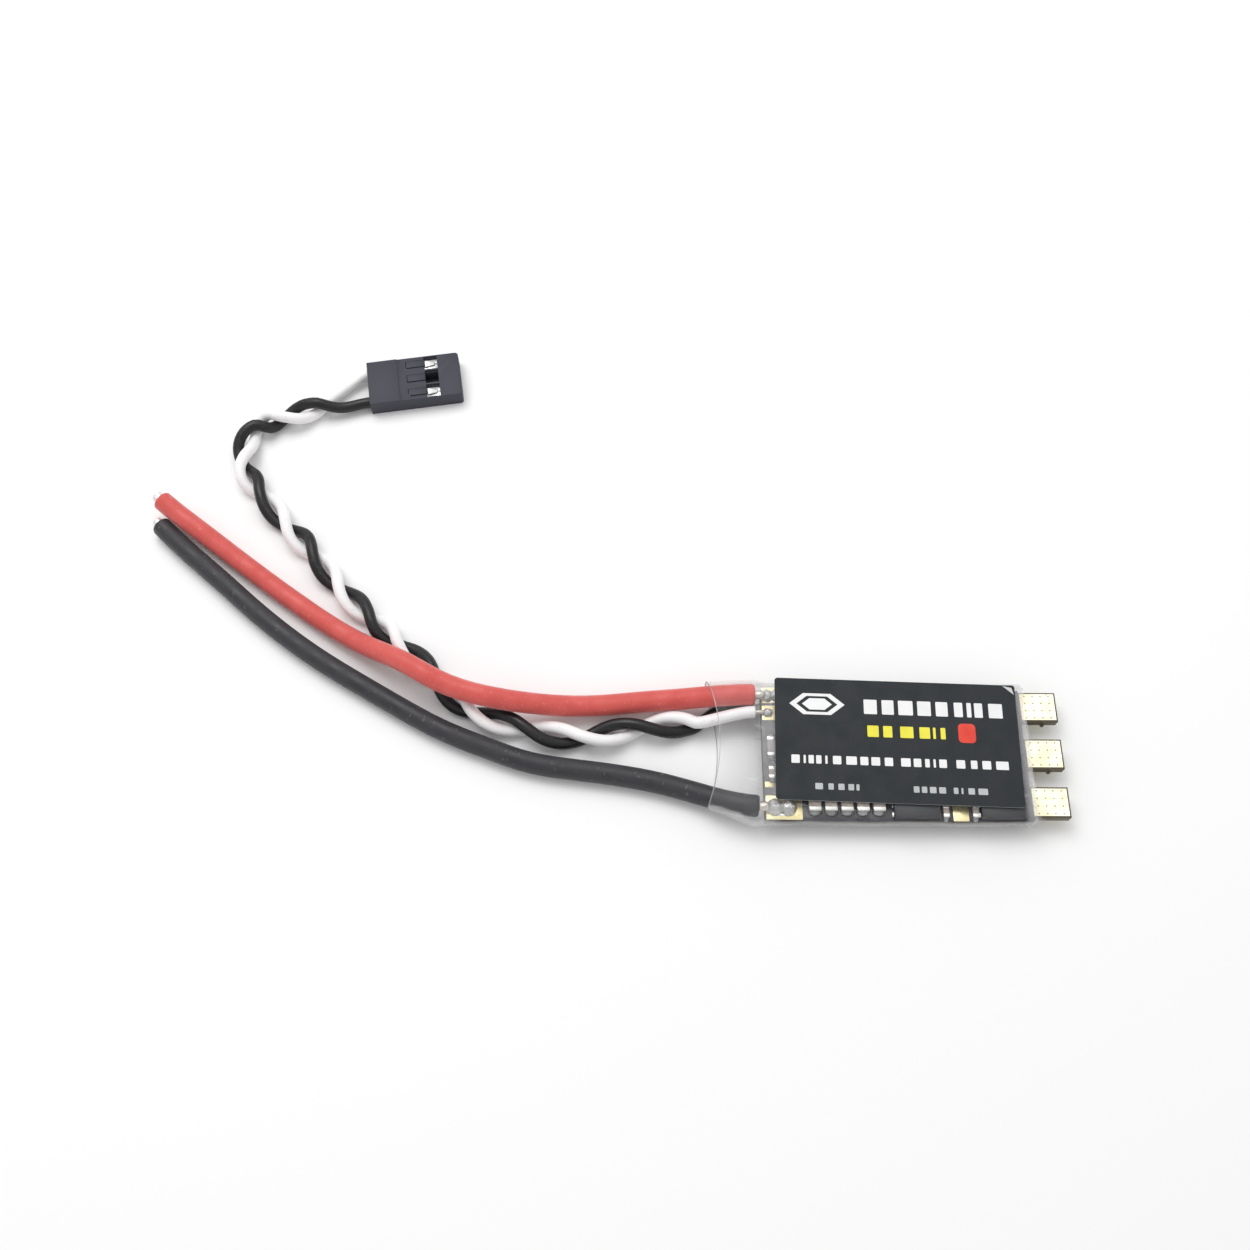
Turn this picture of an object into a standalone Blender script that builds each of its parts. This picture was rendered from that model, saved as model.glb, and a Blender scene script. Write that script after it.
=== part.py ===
"""A small brushless-motor speed controller in a clear heat-shrink sleeve, with its leads and plug.

Units are metres. +X runs along the board towards the three motor tabs, +Y runs across the board
and +Z is up. The origin is under the middle of the sleeve-covered body, on the surface it lies on.
"""

import math

import bmesh
import bpy
import numpy as np
from mathutils import Matrix, Vector

MM = 0.001

# ---------------------------------------------------------------- driving dimensions
FIT_GAP = 0.02 * MM          # between pieces that are soldered, glued or pressed together
EDGE_ROUND = 0.08 * MM

BOARD_LENGTH = 35.0 * MM     # without the tabs
BOARD_WIDTH = 18.4 * MM
BOARD_THICKNESS = 1.4 * MM
BOARD_LEFT = -16.25 * MM
BOARD_MIDDLE_Y = -0.25 * MM
BOARD_UNDERSIDE = 1.6 * MM   # height of the board's lower face above the table

TAB_LENGTH = 4.95 * MM
TAB_WIDTH = 4.15 * MM
TAB_PITCH = 6.65 * MM
TAB_MIDDLE_Y = -0.05 * MM
TAB_NUB = 0.3 * MM           # stub left where the board was snapped out of its panel
TAB_BORDER = 0.22 * MM       # bare board around a pad
PAD_THICKNESS = 0.05 * MM
PAD_FILM_GAP = 0.05 * MM     # from the end of the film to a motor pad

SLEEVE_WALL = 0.2 * MM
SLEEVE_FRONT_ROOM = 0.45 * MM  # between the board's long edges and the film
SLEEVE_BACK_ROOM = 0.6 * MM
SLEEVE_MOUTH = -23.7 * MM
SLEEVE_END_PAST_BOARD = 0.65 * MM
SLEEVE_MOUTH_RECESS = 1.6 * MM
SLEEVE_CLEARANCE = 0.05 * MM  # between the tallest chips and the film

LABEL_LENGTH = 32.3 * MM
LABEL_WIDTH = 17.05 * MM
LABEL_THICKNESS = 0.1 * MM
LABEL_CORNER = 0.45 * MM
LABEL_TURN = math.radians(-1.75)
LABEL_CENTRE = (1.48 * MM, 1.09 * MM)

MOSFET_LENGTH = 6.0 * MM
MOSFET_WIDTH = 5.1 * MM
MOSFET_HEIGHT = 1.0 * MM
MOSFET_END_MARGIN = 1.0 * MM
MOSFET_COLUMN_PITCH = 11.3 * MM
MOSFET_ROW_PITCH = 5.85 * MM
MOSFET_EDGE_MARGIN = 0.25 * MM

CAPACITOR_LENGTH = 3.2 * MM
CAPACITOR_WIDTH = 1.6 * MM
CAPACITOR_HEIGHT = 1.1 * MM
CAPACITOR_PITCH = 2.085 * MM
CAPACITOR_COUNT = 5
CAPACITOR_FIRST_X = -9.79 * MM
CAPACITOR_EDGE_MARGIN = 1.2 * MM

POWER_LEAD_DIAMETER = 2.9 * MM
POWER_CORE_DIAMETER = 1.3 * MM
POWER_TIP_LENGTH = 1.0 * MM
POWER_TIP_DIAMETER = 1.7 * MM
SIGNAL_WIRE_DIAMETER = 1.65 * MM
SIGNAL_CORE_DIAMETER = 0.6 * MM
TWIST_REACH = 1.05 * MM      # sideways distance of each wire from the middle of the pair
TWIST_GAP = 0.16 * MM        # room between the wires where they cross
LEAD_POINT_SPACING = 3.2 * MM
TWIST_POINT_SPACING = 1.55 * MM
CORE_GAP = 0.25 * MM         # from the end of the insulation to the modelled bare core

PLUG_LENGTH = 14.0 * MM
PLUG_PITCH = 2.54 * MM
PLUG_HEIGHT = 2.54 * MM
PLUG_POLES = 3
PLUG_STEP = 0.15 * MM        # the rear part of the housing is this much taller
PLUG_STEP_X = -2.4 * MM
PLUG_CENTRE = Vector((-66.9 * MM, 59.8 * MM, 0.0))
PLUG_TURN = math.radians(9.0)
CAVITY_CLEARANCE = 0.125 * MM  # round a wire in its cavity
TERMINAL_CLEARANCE = 0.175 * MM  # round a terminal in its cavity
SOCKET_SIDE = 1.2 * MM       # lead-in of the mating face
SOCKET_DEPTH = 0.9 * MM
WINDOW_START = 1.7 * MM
WINDOW_LENGTH = 2.0 * MM
TONGUE_ROOT = -1.05 * MM
TONGUE_WIDTH = 1.1 * MM
TONGUE_THICKNESS = 0.36 * MM
TONGUE_GAP = 0.1 * MM
TERMINAL_BACK = -3.1 * MM
TERMINAL_BORE = 0.9 * MM

# ---------------------------------------------------------------- worked-out places
BOARD_TOP = BOARD_UNDERSIDE + BOARD_THICKNESS
BOARD_RIGHT = BOARD_LEFT + BOARD_LENGTH
MOSFET_COLUMNS = tuple(
    BOARD_RIGHT - MOSFET_END_MARGIN - MOSFET_LENGTH / 2 - back * MOSFET_COLUMN_PITCH for back in (1, 0))
COLUMN_GAP_X = sum(MOSFET_COLUMNS) / 2
BOARD_FRONT = BOARD_MIDDLE_Y - BOARD_WIDTH / 2
BOARD_BACK = BOARD_FRONT + BOARD_WIDTH
TAB_END = BOARD_RIGHT + TAB_LENGTH
PAD_TOP = BOARD_TOP + FIT_GAP + PAD_THICKNESS
CHIP_TOP = BOARD_TOP + FIT_GAP + max(MOSFET_HEIGHT, CAPACITOR_HEIGHT)
SLEEVE_TOP = CHIP_TOP + SLEEVE_CLEARANCE + SLEEVE_WALL
SLEEVE_END = BOARD_RIGHT + SLEEVE_END_PAST_BOARD
SLEEVE_FRONT = BOARD_FRONT - SLEEVE_FRONT_ROOM - SLEEVE_WALL
SLEEVE_BACK = BOARD_BACK + SLEEVE_BACK_ROOM + SLEEVE_WALL
CAVITY_SIDE = SIGNAL_WIRE_DIAMETER + 2 * CAVITY_CLEARANCE
CAVITY_FLOOR = (PLUG_HEIGHT - CAVITY_SIDE) / 2
TERMINAL_SIDE = CAVITY_SIDE - 2 * TERMINAL_CLEARANCE
LEAD_END_X = BOARD_LEFT - 0.75 * MM
SOLDER_START_X = BOARD_LEFT + 0.3 * MM
POWER_CORE_Z = PAD_TOP + FIT_GAP + POWER_CORE_DIAMETER / 2
RED_LEAD_Y = 7.9 * MM
BLACK_LEAD_Y = -7.65 * MM
WHITE_WIRE_Y = 5.55 * MM
GROUND_WIRE_Y = 7.5 * MM
UNDER_PAD_LOW = BOARD_UNDERSIDE - FIT_GAP - PAD_THICKNESS
GROUND_CORE_Z = UNDER_PAD_LOW - FIT_GAP - SIGNAL_CORE_DIAMETER / 2
WHITE_CORE_Z = PAD_TOP + FIT_GAP + SIGNAL_CORE_DIAMETER / 2

# ---------------------------------------------------------------- routes, chosen by hand, in mm
RED_ROUTE = (
    (-17.0, 7.9, 3.74), (-18.6, 7.9, 3.7), (-21.0, 7.85, 3.5), (-23.6, 7.75, 3.2),
    (-27.5, 7.6, 2.6), (-32.5, 7.35, 2.1), (-38.5, 6.85, 1.95), (-44.5, 6.6, 2.75),
    (-50.4, 6.7, 4.35), (-56.1, 7.75, 5.0), (-60.6, 9.6, 5.1), (-65.0, 12.2, 4.75),
    (-69.0, 14.5, 3.1), (-74.0, 17.5, 1.85), (-79.3, 21.1, 1.5), (-84.8, 25.1, 1.47),
    (-90.4, 29.3, 1.6), (-96.0, 33.5, 2.15), (-98.6, 35.35, 2.65), (-101.9, 37.85, 3.4),
)
BLACK_ROUTE = (
    (-17.0, -7.65, 3.74), (-18.4, -7.5, 3.6), (-20.4, -7.0, 3.1), (-23.3, -5.95, 2.1),
    (-29.0, -4.15, 1.55), (-35.1, -2.9, 1.46), (-41.2, -2.1, 1.46), (-47.3, -1.1, 1.46),
    (-53.1, 0.9, 1.46), (-59.0, 3.3, 1.46), (-64.7, 6.35, 1.46), (-70.4, 9.7, 1.46),
    (-76.2, 13.25, 1.46), (-81.9, 17.25, 1.46), (-87.4, 21.7, 1.46), (-91.6, 25.4, 1.46),
    (-95.75, 28.95, 1.46), (-98.6, 31.45, 1.46), (-102.0, 34.7, 1.46),
)
# Each point is a crossing of the two wires, half a turn of the twist from the next.
TWIST_CROSSINGS = (
    (-25.0, 4.25), (-32.6, 3.85), (-40.5, 2.35), (-48.3, 3.75), (-55.6, 6.2), (-60.5, 10.9),
    (-66.2, 16.2), (-70.3, 20.0), (-75.1, 24.75), (-79.3, 30.1), (-83.6, 34.55),
    (-88.1, 40.2), (-91.2, 44.95), (-90.2, 51.1), (-86.9, 52.8), (-81.0, 55.1),
)
WHITE_START = ((-17.0, 5.55, 3.42), (-18.2, 5.5, 3.3), (-20.2, 5.25, 2.85), (-22.4, 4.75, 2.6))
WHITE_PLUG_APPROACH = ((-78.6, 57.7, 1.0), (-76.0, 60.2, 1.15))
GROUND_START = ((-17.0, 7.5, 1.18), (-18.4, 7.45, 1.18), (-20.3, 7.1, 1.16), (-22.8, 5.95, 1.16))
GROUND_PLUG_APPROACH = ((-78.2, 55.0, 1.6), (-75.3, 55.75, 1.3))
PAIR_HEIGHT = 2 * SIGNAL_WIRE_DIAMETER + TWIST_GAP


# ---------------------------------------------------------------- scene and materials
def clear_scene():
    """Remove every object that the file starts with."""
    for obj in list(bpy.data.objects):
        bpy.data.objects.remove(obj, do_unlink=True)


def new_collection(name):
    collection = bpy.data.collections.new(name)
    bpy.context.scene.collection.children.link(collection)
    return collection


def new_material(name, colour, roughness, metallic=0.0, alpha=1.0):
    material = bpy.data.materials.new(name)
    material.use_nodes = True
    shader = material.node_tree.nodes["Principled BSDF"]
    shader.inputs["Base Color"].default_value = (*colour, 1.0)
    shader.inputs["Roughness"].default_value = roughness
    shader.inputs["Metallic"].default_value = metallic
    shader.inputs["Alpha"].default_value = alpha
    return material


# ---------------------------------------------------------------- shape helpers
def add_object(name, data, material, collection, parent=None):
    obj = bpy.data.objects.new(name, data)
    data.materials.append(material)
    collection.objects.link(obj)
    obj.parent = parent
    return obj


def make_cutter(obj):
    obj.hide_render = True
    obj.display_type = "WIRE"
    return obj


def add_bevel(obj, width, segments=2):
    bevel = obj.modifiers.new("rounded_edges", "BEVEL")
    bevel.width = width
    bevel.segments = segments
    bevel.limit_method = "ANGLE"
    bevel.angle_limit = math.radians(40)
    return bevel


def add_boolean(obj, other, operation="DIFFERENCE"):
    boolean = obj.modifiers.new(operation.lower(), "BOOLEAN")
    boolean.operation = operation
    boolean.solver = "EXACT"
    boolean.object = other
    return boolean


def add_box(name, low, high, material, collection, bevel=EDGE_ROUND, parent=None):
    """A block between two corners, with its edges rounded."""
    low, high = Vector(low), Vector(high)
    size = high - low
    shape = bmesh.new()
    bmesh.ops.create_cube(shape, size=1.0)
    bmesh.ops.scale(shape, vec=size, verts=shape.verts)
    mesh = bpy.data.meshes.new(name)
    shape.to_mesh(mesh)
    shape.free()
    obj = add_object(name, mesh, material, collection, parent)
    obj.location = (low + high) / 2
    if bevel > 0:
        add_bevel(obj, min(bevel, 0.3 * min(size)))
    return obj


def add_block(name, centre, size, low_z, material, collection, bevel=EDGE_ROUND, parent=None):
    """A block that stands on low_z, given by the middle of its footprint and its three sizes."""
    low = (centre[0] - size[0] / 2, centre[1] - size[1] / 2, low_z)
    high = (centre[0] + size[0] / 2, centre[1] + size[1] / 2, low_z + size[2])
    return add_box(name, low, high, material, collection, bevel, parent)


def add_plate(name, outline, low_z, thickness, material, collection):
    """A flat piece of even thickness, from its outline."""
    curve = bpy.data.curves.new(name, "CURVE")
    curve.dimensions = "2D"
    curve.fill_mode = "BOTH"
    curve.extrude = thickness / 2
    spline = curve.splines.new("POLY")
    spline.points.add(len(outline) - 1)
    for point, place in zip(spline.points, outline):
        point.co = (place[0], place[1], 0.0, 1.0)
    spline.use_cyclic_u = True
    obj = add_object(name, curve, material, collection)
    obj.location.z = low_z + thickness / 2
    return obj


def rounded_rectangle(length, width, corner, steps=4):
    """Outline of a rectangle with round corners, anticlockwise about the origin."""
    outline = []
    for quarter, (side_x, side_y) in enumerate(((1, 1), (-1, 1), (-1, -1), (1, -1))):
        for step in range(steps + 1):
            angle = math.radians(90) * (quarter + step / steps)
            outline.append((
                side_x * (length / 2 - corner) + corner * math.cos(angle),
                side_y * (width / 2 - corner) + corner * math.sin(angle),
            ))
    return outline


def natural_spline(points, count):
    """count points, evenly spread along a natural cubic spline through the given points."""
    knots = np.array(points, float)
    chords = np.linalg.norm(np.diff(knots, axis=0), axis=1)
    stations = np.concatenate(([0.0], np.cumsum(np.sqrt(chords))))
    steps = np.diff(stations)
    system = np.eye(len(knots))
    right = np.zeros_like(knots)
    for i in range(1, len(knots) - 1):
        system[i, i - 1:i + 2] = steps[i - 1], 2 * (steps[i - 1] + steps[i]), steps[i]
        right[i] = 6 * ((knots[i + 1] - knots[i]) / steps[i] - (knots[i] - knots[i - 1]) / steps[i - 1])
    bends = np.linalg.solve(system, right)
    fine = np.linspace(0.0, stations[-1], 40 * len(knots))
    span = np.clip(np.searchsorted(stations, fine, side="right") - 1, 0, len(steps) - 1)
    step = steps[span][:, None]
    after = (fine - stations[span])[:, None]
    before = step - after
    curve = (
        (bends[span] * before**3 + bends[span + 1] * after**3) / (6 * step)
        + (knots[span] / step - bends[span] * step / 6) * before
        + (knots[span + 1] / step - bends[span + 1] * step / 6) * after
    )
    walked = np.concatenate(([0.0], np.cumsum(np.linalg.norm(np.diff(curve, axis=0), axis=1))))
    even = np.linspace(0.0, walked[-1], count)
    return np.stack([np.interp(even, walked, curve[:, axis]) for axis in range(3)], axis=1)


def add_tube(name, points, diameter, material, collection):
    """A round cord along the points, closed at both ends."""
    curve = bpy.data.curves.new(name, "CURVE")
    curve.dimensions = "3D"
    curve.bevel_depth = diameter / 2
    curve.bevel_resolution = 2
    curve.use_fill_caps = True
    spline = curve.splines.new("POLY")
    spline.points.add(len(points) - 1)
    for point, place in zip(spline.points, points):
        point.co = (*place, 1.0)
    return add_object(name, curve, material, collection)


def cord_points(route, spacing):
    """Evenly spaced points for a cord along a route in millimetres."""
    length = sum(math.dist(a, b) for a, b in zip(route, route[1:])) * MM
    return natural_spline(route, round(length / spacing) + 1) * MM


# ---------------------------------------------------------------- the board and what is soldered to it
def tab_centre_y(index):
    """Middle of a motor tab; index 0 is the rearmost."""
    return TAB_MIDDLE_Y + (1 - index) * TAB_PITCH


def board_outline():
    """The board with its three motor tabs and the snapped stubs on two of them."""
    outline = [(BOARD_LEFT, BOARD_FRONT), (BOARD_RIGHT, BOARD_FRONT)]
    stub_x = BOARD_RIGHT + 0.62 * TAB_LENGTH
    for index in (2, 1, 0):
        low = tab_centre_y(index) - TAB_WIDTH / 2
        high = tab_centre_y(index) + TAB_WIDTH / 2
        outline.append((BOARD_RIGHT, low))
        if index < 2:
            outline += [
                (stub_x - TAB_NUB, low), (stub_x - TAB_NUB / 2, low - TAB_NUB),
                (stub_x + TAB_NUB / 2, low - TAB_NUB), (stub_x + TAB_NUB, low),
            ]
        outline += [(TAB_END, low), (TAB_END, high), (BOARD_RIGHT, high)]
    outline += [(BOARD_RIGHT, BOARD_BACK), (BOARD_LEFT, BOARD_BACK)]
    return outline


def add_board(parts, materials):
    return add_plate(
        "circuit_board", board_outline(), BOARD_UNDERSIDE, BOARD_THICKNESS, materials["board"], parts)


def add_motor_pads(parts, materials):
    """A gold-plated pad on both faces of each motor tab."""
    length = TAB_END - TAB_BORDER - SLEEVE_END - PAD_FILM_GAP
    size = (length, TAB_WIDTH - 2 * TAB_BORDER, PAD_THICKNESS)
    for index, letter in enumerate("abc"):
        centre = (TAB_END - TAB_BORDER - length / 2, tab_centre_y(index))
        for side, low_z in (("top", BOARD_TOP + FIT_GAP), ("under", UNDER_PAD_LOW)):
            add_block(f"motor_pad_{letter}_{side}", centre, size, low_z, materials["gold"], parts, 0)


def add_mosfets(parts, materials):
    """Two columns of three power transistors, a pair for each motor phase."""
    front_y = BOARD_FRONT + MOSFET_EDGE_MARGIN + MOSFET_WIDTH / 2
    size = (MOSFET_LENGTH, MOSFET_WIDTH, MOSFET_HEIGHT)
    for column, side in zip(MOSFET_COLUMNS, ("high", "low")):
        for row, letter in enumerate("cba"):
            add_block(
                f"mosfet_{letter}_{side}_side", (column, front_y + row * MOSFET_ROW_PITCH), size,
                BOARD_TOP + FIT_GAP, materials["chip"], parts)


def add_capacitors(parts, materials):
    """The row of ceramic bus capacitors along the front edge."""
    y = BOARD_FRONT + CAPACITOR_EDGE_MARGIN + CAPACITOR_LENGTH / 2
    size = (CAPACITOR_WIDTH, CAPACITOR_LENGTH, CAPACITOR_HEIGHT)
    for index in range(CAPACITOR_COUNT):
        add_block(
            f"bus_capacitor_{index + 1}", (CAPACITOR_FIRST_X + index * CAPACITOR_PITCH, y), size,
            BOARD_TOP + FIT_GAP, materials["ceramic"], parts)


def add_small_parts(parts, materials):
    """The small chips: name, footprint middle, size, side of the board and material, all in mm."""
    top_chips = (
        ("shunt_resistor", (-15.0, 0.7), (1.3, 2.7, 0.55), "ceramic"),
        ("input_capacitor", (-15.1, -3.0), (1.0, 1.6, 0.8), "ceramic"),
        ("bootstrap_capacitor_left", (COLUMN_GAP_X / MM - 1.85, -8.15), (0.8, 1.6, 0.8), "ceramic"),
        ("bootstrap_capacitor_right", (COLUMN_GAP_X / MM + 2.0, -8.15), (0.8, 1.6, 0.8), "ceramic"),
    )
    under_chips = (
        ("microcontroller", (-6.5, 1.5), (4.0, 4.0, 0.85), "chip"),
        ("gate_driver_a", (2.5, 5.5), (3.0, 3.0, 0.8), "chip"),
        ("gate_driver_b", (2.5, 0.0), (3.0, 3.0, 0.8), "chip"),
        ("gate_driver_c", (2.5, -5.5), (3.0, 3.0, 0.8), "chip"),
        ("voltage_regulator", (-10.5, -5.5), (2.9, 1.6, 1.1), "chip"),
    )
    for name, centre, size, finish in top_chips:
        place, block = np.array(centre) * MM, np.array(size) * MM
        add_block(name, place, block, BOARD_TOP + FIT_GAP, materials[finish], parts)
    for name, centre, size, finish in under_chips:
        place, block = np.array(centre) * MM, np.array(size) * MM
        low_z = BOARD_UNDERSIDE - FIT_GAP - block[2]
        add_block(name, place, block, low_z, materials[finish], parts)


def add_pads_and_joints(parts, materials):
    """Solder pads at the lead end, the stripped cores on them and the solder over the cores."""
    top, under = BOARD_TOP + FIT_GAP, UNDER_PAD_LOW
    edge = BOARD_LEFT + 0.15 * MM
    pads = (
        ("positive_power_pad", (edge, 6.95 * MM), (edge + 4.0 * MM, 9.2 * MM), top),
        ("negative_power_pad", (edge, -9.25 * MM), (edge + 4.75 * MM, -6.0 * MM), top),
        ("signal_pad", (edge, 4.5 * MM), (edge + 2.4 * MM, 6.6 * MM), top),
        ("signal_ground_pad", (edge, 6.6 * MM), (edge + 2.4 * MM, 8.4 * MM), under),
        ("probe_pad", (edge, -4.9 * MM), (edge + 1.3 * MM, -4.1 * MM), top),
        ("test_pad", (COLUMN_GAP_X - 0.85 * MM, -9.35 * MM), (COLUMN_GAP_X + 1.2 * MM, -7.2 * MM), top),
    )
    for name, low, high, low_z in pads:
        add_box(name, (*low, low_z), (*high, low_z + PAD_THICKNESS), materials["gold"], parts, 0)
    cores = (
        ("red_lead_core", RED_LEAD_Y, POWER_CORE_Z, POWER_CORE_DIAMETER),
        ("black_lead_core", BLACK_LEAD_Y, POWER_CORE_Z, POWER_CORE_DIAMETER),
        ("white_wire_core", WHITE_WIRE_Y, WHITE_CORE_Z, SIGNAL_CORE_DIAMETER),
        ("black_wire_core", GROUND_WIRE_Y, GROUND_CORE_Z, SIGNAL_CORE_DIAMETER),
    )
    for name, y, z, diameter in cores:
        ends = ((LEAD_END_X + CORE_GAP, y, z), (SOLDER_START_X - FIT_GAP, y, z))
        add_tube(name, ends, diameter, materials["copper"], parts)
    solder = materials["solder"]
    power_top = min(PAD_TOP + 1.0 * MM, CHIP_TOP)
    add_box(
        "positive_solder_joint", (SOLDER_START_X, 7.1 * MM, PAD_TOP + FIT_GAP),
        (SOLDER_START_X + 2.4 * MM, 8.85 * MM, power_top), solder, parts, 0.4 * MM)
    add_box(
        "negative_solder_joint", (SOLDER_START_X, -8.7 * MM, PAD_TOP + FIT_GAP),
        (SOLDER_START_X + 3.7 * MM, -6.5 * MM, power_top), solder, parts, 0.4 * MM)
    add_box(
        "signal_solder_joint", (SOLDER_START_X, 4.95 * MM, PAD_TOP + FIT_GAP),
        (SOLDER_START_X + 1.2 * MM, 6.15 * MM, PAD_TOP + 0.7 * MM), solder, parts, 0.2 * MM)
    add_box(
        "signal_ground_solder_joint", (SOLDER_START_X, 6.9 * MM, UNDER_PAD_LOW - 0.7 * MM),
        (SOLDER_START_X + 1.2 * MM, 8.1 * MM, UNDER_PAD_LOW - FIT_GAP), solder, parts, 0.2 * MM)


# ---------------------------------------------------------------- sleeve and label
def sleeve_sections():
    """Stations along the sleeve: x, front y, back y, low z, high z, corner radius."""
    lead_top = POWER_CORE_Z + POWER_LEAD_DIAMETER / 2
    hump = lead_top + SLEEVE_WALL + 0.1 * MM
    corner = 1.1 * MM
    front, back = SLEEVE_FRONT, SLEEVE_BACK
    return (
        (SLEEVE_END, front + 0.55 * MM, back - 0.4 * MM, 0.95 * MM, PAD_TOP + 0.45 * MM, 0.6 * MM),
        (BOARD_RIGHT + 0.1 * MM, front + 0.1 * MM, back, 0.35 * MM, SLEEVE_TOP - 0.45 * MM, 0.9 * MM),
        (BOARD_RIGHT - 0.6 * MM, front, back, 0.0, SLEEVE_TOP, corner),
        (0.5 * (BOARD_RIGHT + BOARD_LEFT), front, back, 0.0, SLEEVE_TOP, corner),
        (BOARD_LEFT + 1.4 * MM, front, back, 0.0, SLEEVE_TOP, corner),
        (BOARD_LEFT + 0.5 * MM, front, back, 0.0, SLEEVE_TOP + 0.3 * MM, 1.2 * MM),
        (BOARD_LEFT - 0.4 * MM, front, back, 0.0, hump - 0.15 * MM, 1.3 * MM),
        (BOARD_LEFT - 1.3 * MM, front + 0.1 * MM, back + 0.1 * MM, 0.0, hump + 0.1 * MM, 1.6 * MM),
        (BOARD_LEFT - 3.4 * MM, front + 0.95 * MM, back + 0.1 * MM, 0.0, hump + 0.3 * MM, 2.0 * MM),
        (BOARD_LEFT - 5.6 * MM, front + 1.8 * MM, back, 0.0, hump + 0.3 * MM, 2.2 * MM),
        (SLEEVE_MOUTH, front + 2.4 * MM, back, 0.0, hump + 0.2 * MM, 2.2 * MM),
    )


def section_ring(section):
    """Points of one cross-section of the sleeve, with the mouth's edge drawn back in its middle."""
    x, front, back, low, high, corner = section
    middle_y, middle_z = (front + back) / 2, (low + high) / 2
    ring = []
    for y, z in rounded_rectangle(back - front, high - low, corner, steps=5):
        across = 2 * y / (back - front)
        recess = SLEEVE_MOUTH_RECESS * max(0.0, 1 - across**2) if x == SLEEVE_MOUTH else 0.0
        ring.append((x + recess, middle_y + y, middle_z + z))
    return ring


def add_sleeve(parts, materials):
    """The clear heat-shrink: an open loft through the sections, given its wall by Solidify."""
    shape = bmesh.new()
    rings = [[shape.verts.new(place) for place in section_ring(s)] for s in sleeve_sections()]
    for ring, following in zip(rings, rings[1:]):
        for i, vert in enumerate(ring):
            j = (i + 1) % len(ring)
            shape.faces.new((vert, ring[j], following[j], following[i]))
    bmesh.ops.recalc_face_normals(shape, faces=shape.faces)
    mesh = bpy.data.meshes.new("heat_shrink_sleeve")
    shape.to_mesh(mesh)
    shape.free()
    mesh.shade_smooth()
    sleeve = add_object("heat_shrink_sleeve", mesh, materials["film"], parts)
    outward = mesh.polygons[0].normal.dot(mesh.polygons[0].center - Vector((0, 0, SLEEVE_TOP / 2)))
    wall = sleeve.modifiers.new("wall", "SOLIDIFY")
    wall.thickness = SLEEVE_WALL
    wall.offset = -1.0 if outward > 0 else 1.0
    wall.use_even_offset = True
    return sleeve


def add_label(parts, materials):
    outline = rounded_rectangle(LABEL_LENGTH, LABEL_WIDTH, LABEL_CORNER)
    label = add_plate("label", outline, SLEEVE_TOP + FIT_GAP, LABEL_THICKNESS, materials["label"], parts)
    label.location.x, label.location.y = LABEL_CENTRE
    label.rotation_euler.z = LABEL_TURN
    return label


# ---------------------------------------------------------------- leads and the twisted pair
def plug_point(x, y, z):
    """A place given in the plug's own axes, in the object's frame."""
    return PLUG_CENTRE + Matrix.Rotation(PLUG_TURN, 3, "Z") @ Vector((x, y, z))


def pole_y(pole):
    """Middle of a plug pole across the housing; pole 0 is the rearmost."""
    return ((PLUG_POLES - 1) / 2 - pole) * PLUG_PITCH


def twisted_route(white):
    """Points of one wire of the pair, where it winds round the middle line between crossings."""
    per_half_turn = 4
    count = (len(TWIST_CROSSINGS) - 1) * per_half_turn + 1
    knots = [(x, y, 0.0) for x, y in TWIST_CROSSINGS]
    fine = natural_spline(knots, 1200)
    nearest = [int(np.argmin(np.linalg.norm(fine - np.array(knot), axis=1))) for knot in knots]
    turns = np.interp(
        np.linspace(0, len(knots) - 1, count), range(len(knots)), nearest)
    heading = np.gradient(fine, axis=0)
    heading /= np.linalg.norm(heading, axis=1)[:, None]
    side = 1.0 if white else -1.0
    reach, middle_z = TWIST_REACH / MM, PAIR_HEIGHT / 2 / MM
    lift = middle_z - SIGNAL_WIRE_DIAMETER / 2 / MM
    route = []
    for step, station in enumerate(turns):
        index = int(round(station))
        phase = math.pi * step / per_half_turn
        sideways = np.array((-heading[index][1], heading[index][0], 0.0))
        offset = side * reach * math.sin(phase)
        place = fine[index] - sideways * offset
        route.append((place[0], place[1], middle_z + side * lift * math.cos(phase)))
    return route


def signal_route(white):
    """The whole run of a signal wire, from its pad through the twist into the plug."""
    start = WHITE_START if white else GROUND_START
    approach = WHITE_PLUG_APPROACH if white else GROUND_PLUG_APPROACH
    pole = 0 if white else PLUG_POLES - 1
    entry = [
        tuple(plug_point(x, pole_y(pole), PLUG_HEIGHT / 2) / MM)
        for x in (-PLUG_LENGTH / 2 - 0.4 * MM, TERMINAL_BACK - 3 * FIT_GAP)
    ]
    return [*start, *twisted_route(white), *approach, *entry]


def add_cords(parts, materials):
    """The power leads with their tinned tips, and the two signal wires."""
    leads = (("red", RED_ROUTE), ("black", BLACK_ROUTE))
    for colour, route in leads:
        points = cord_points(route, LEAD_POINT_SPACING)
        add_tube(f"{colour}_power_lead", points, POWER_LEAD_DIAMETER, materials[colour], parts)
        end = Vector(points[-1])
        heading = (end - Vector(points[-2])).normalized()
        tip = (end + heading * FIT_GAP, end + heading * (FIT_GAP + POWER_TIP_LENGTH))
        add_tube(f"{colour}_lead_tinned_tip", tip, POWER_TIP_DIAMETER, materials["solder"], parts)
    wires = (("white_signal_wire", True, "white"), ("black_signal_wire", False, "black"))
    for name, white, finish in wires:
        points = cord_points(signal_route(white), TWIST_POINT_SPACING)
        add_tube(name, points, SIGNAL_WIRE_DIAMETER, materials[finish], parts)


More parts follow.
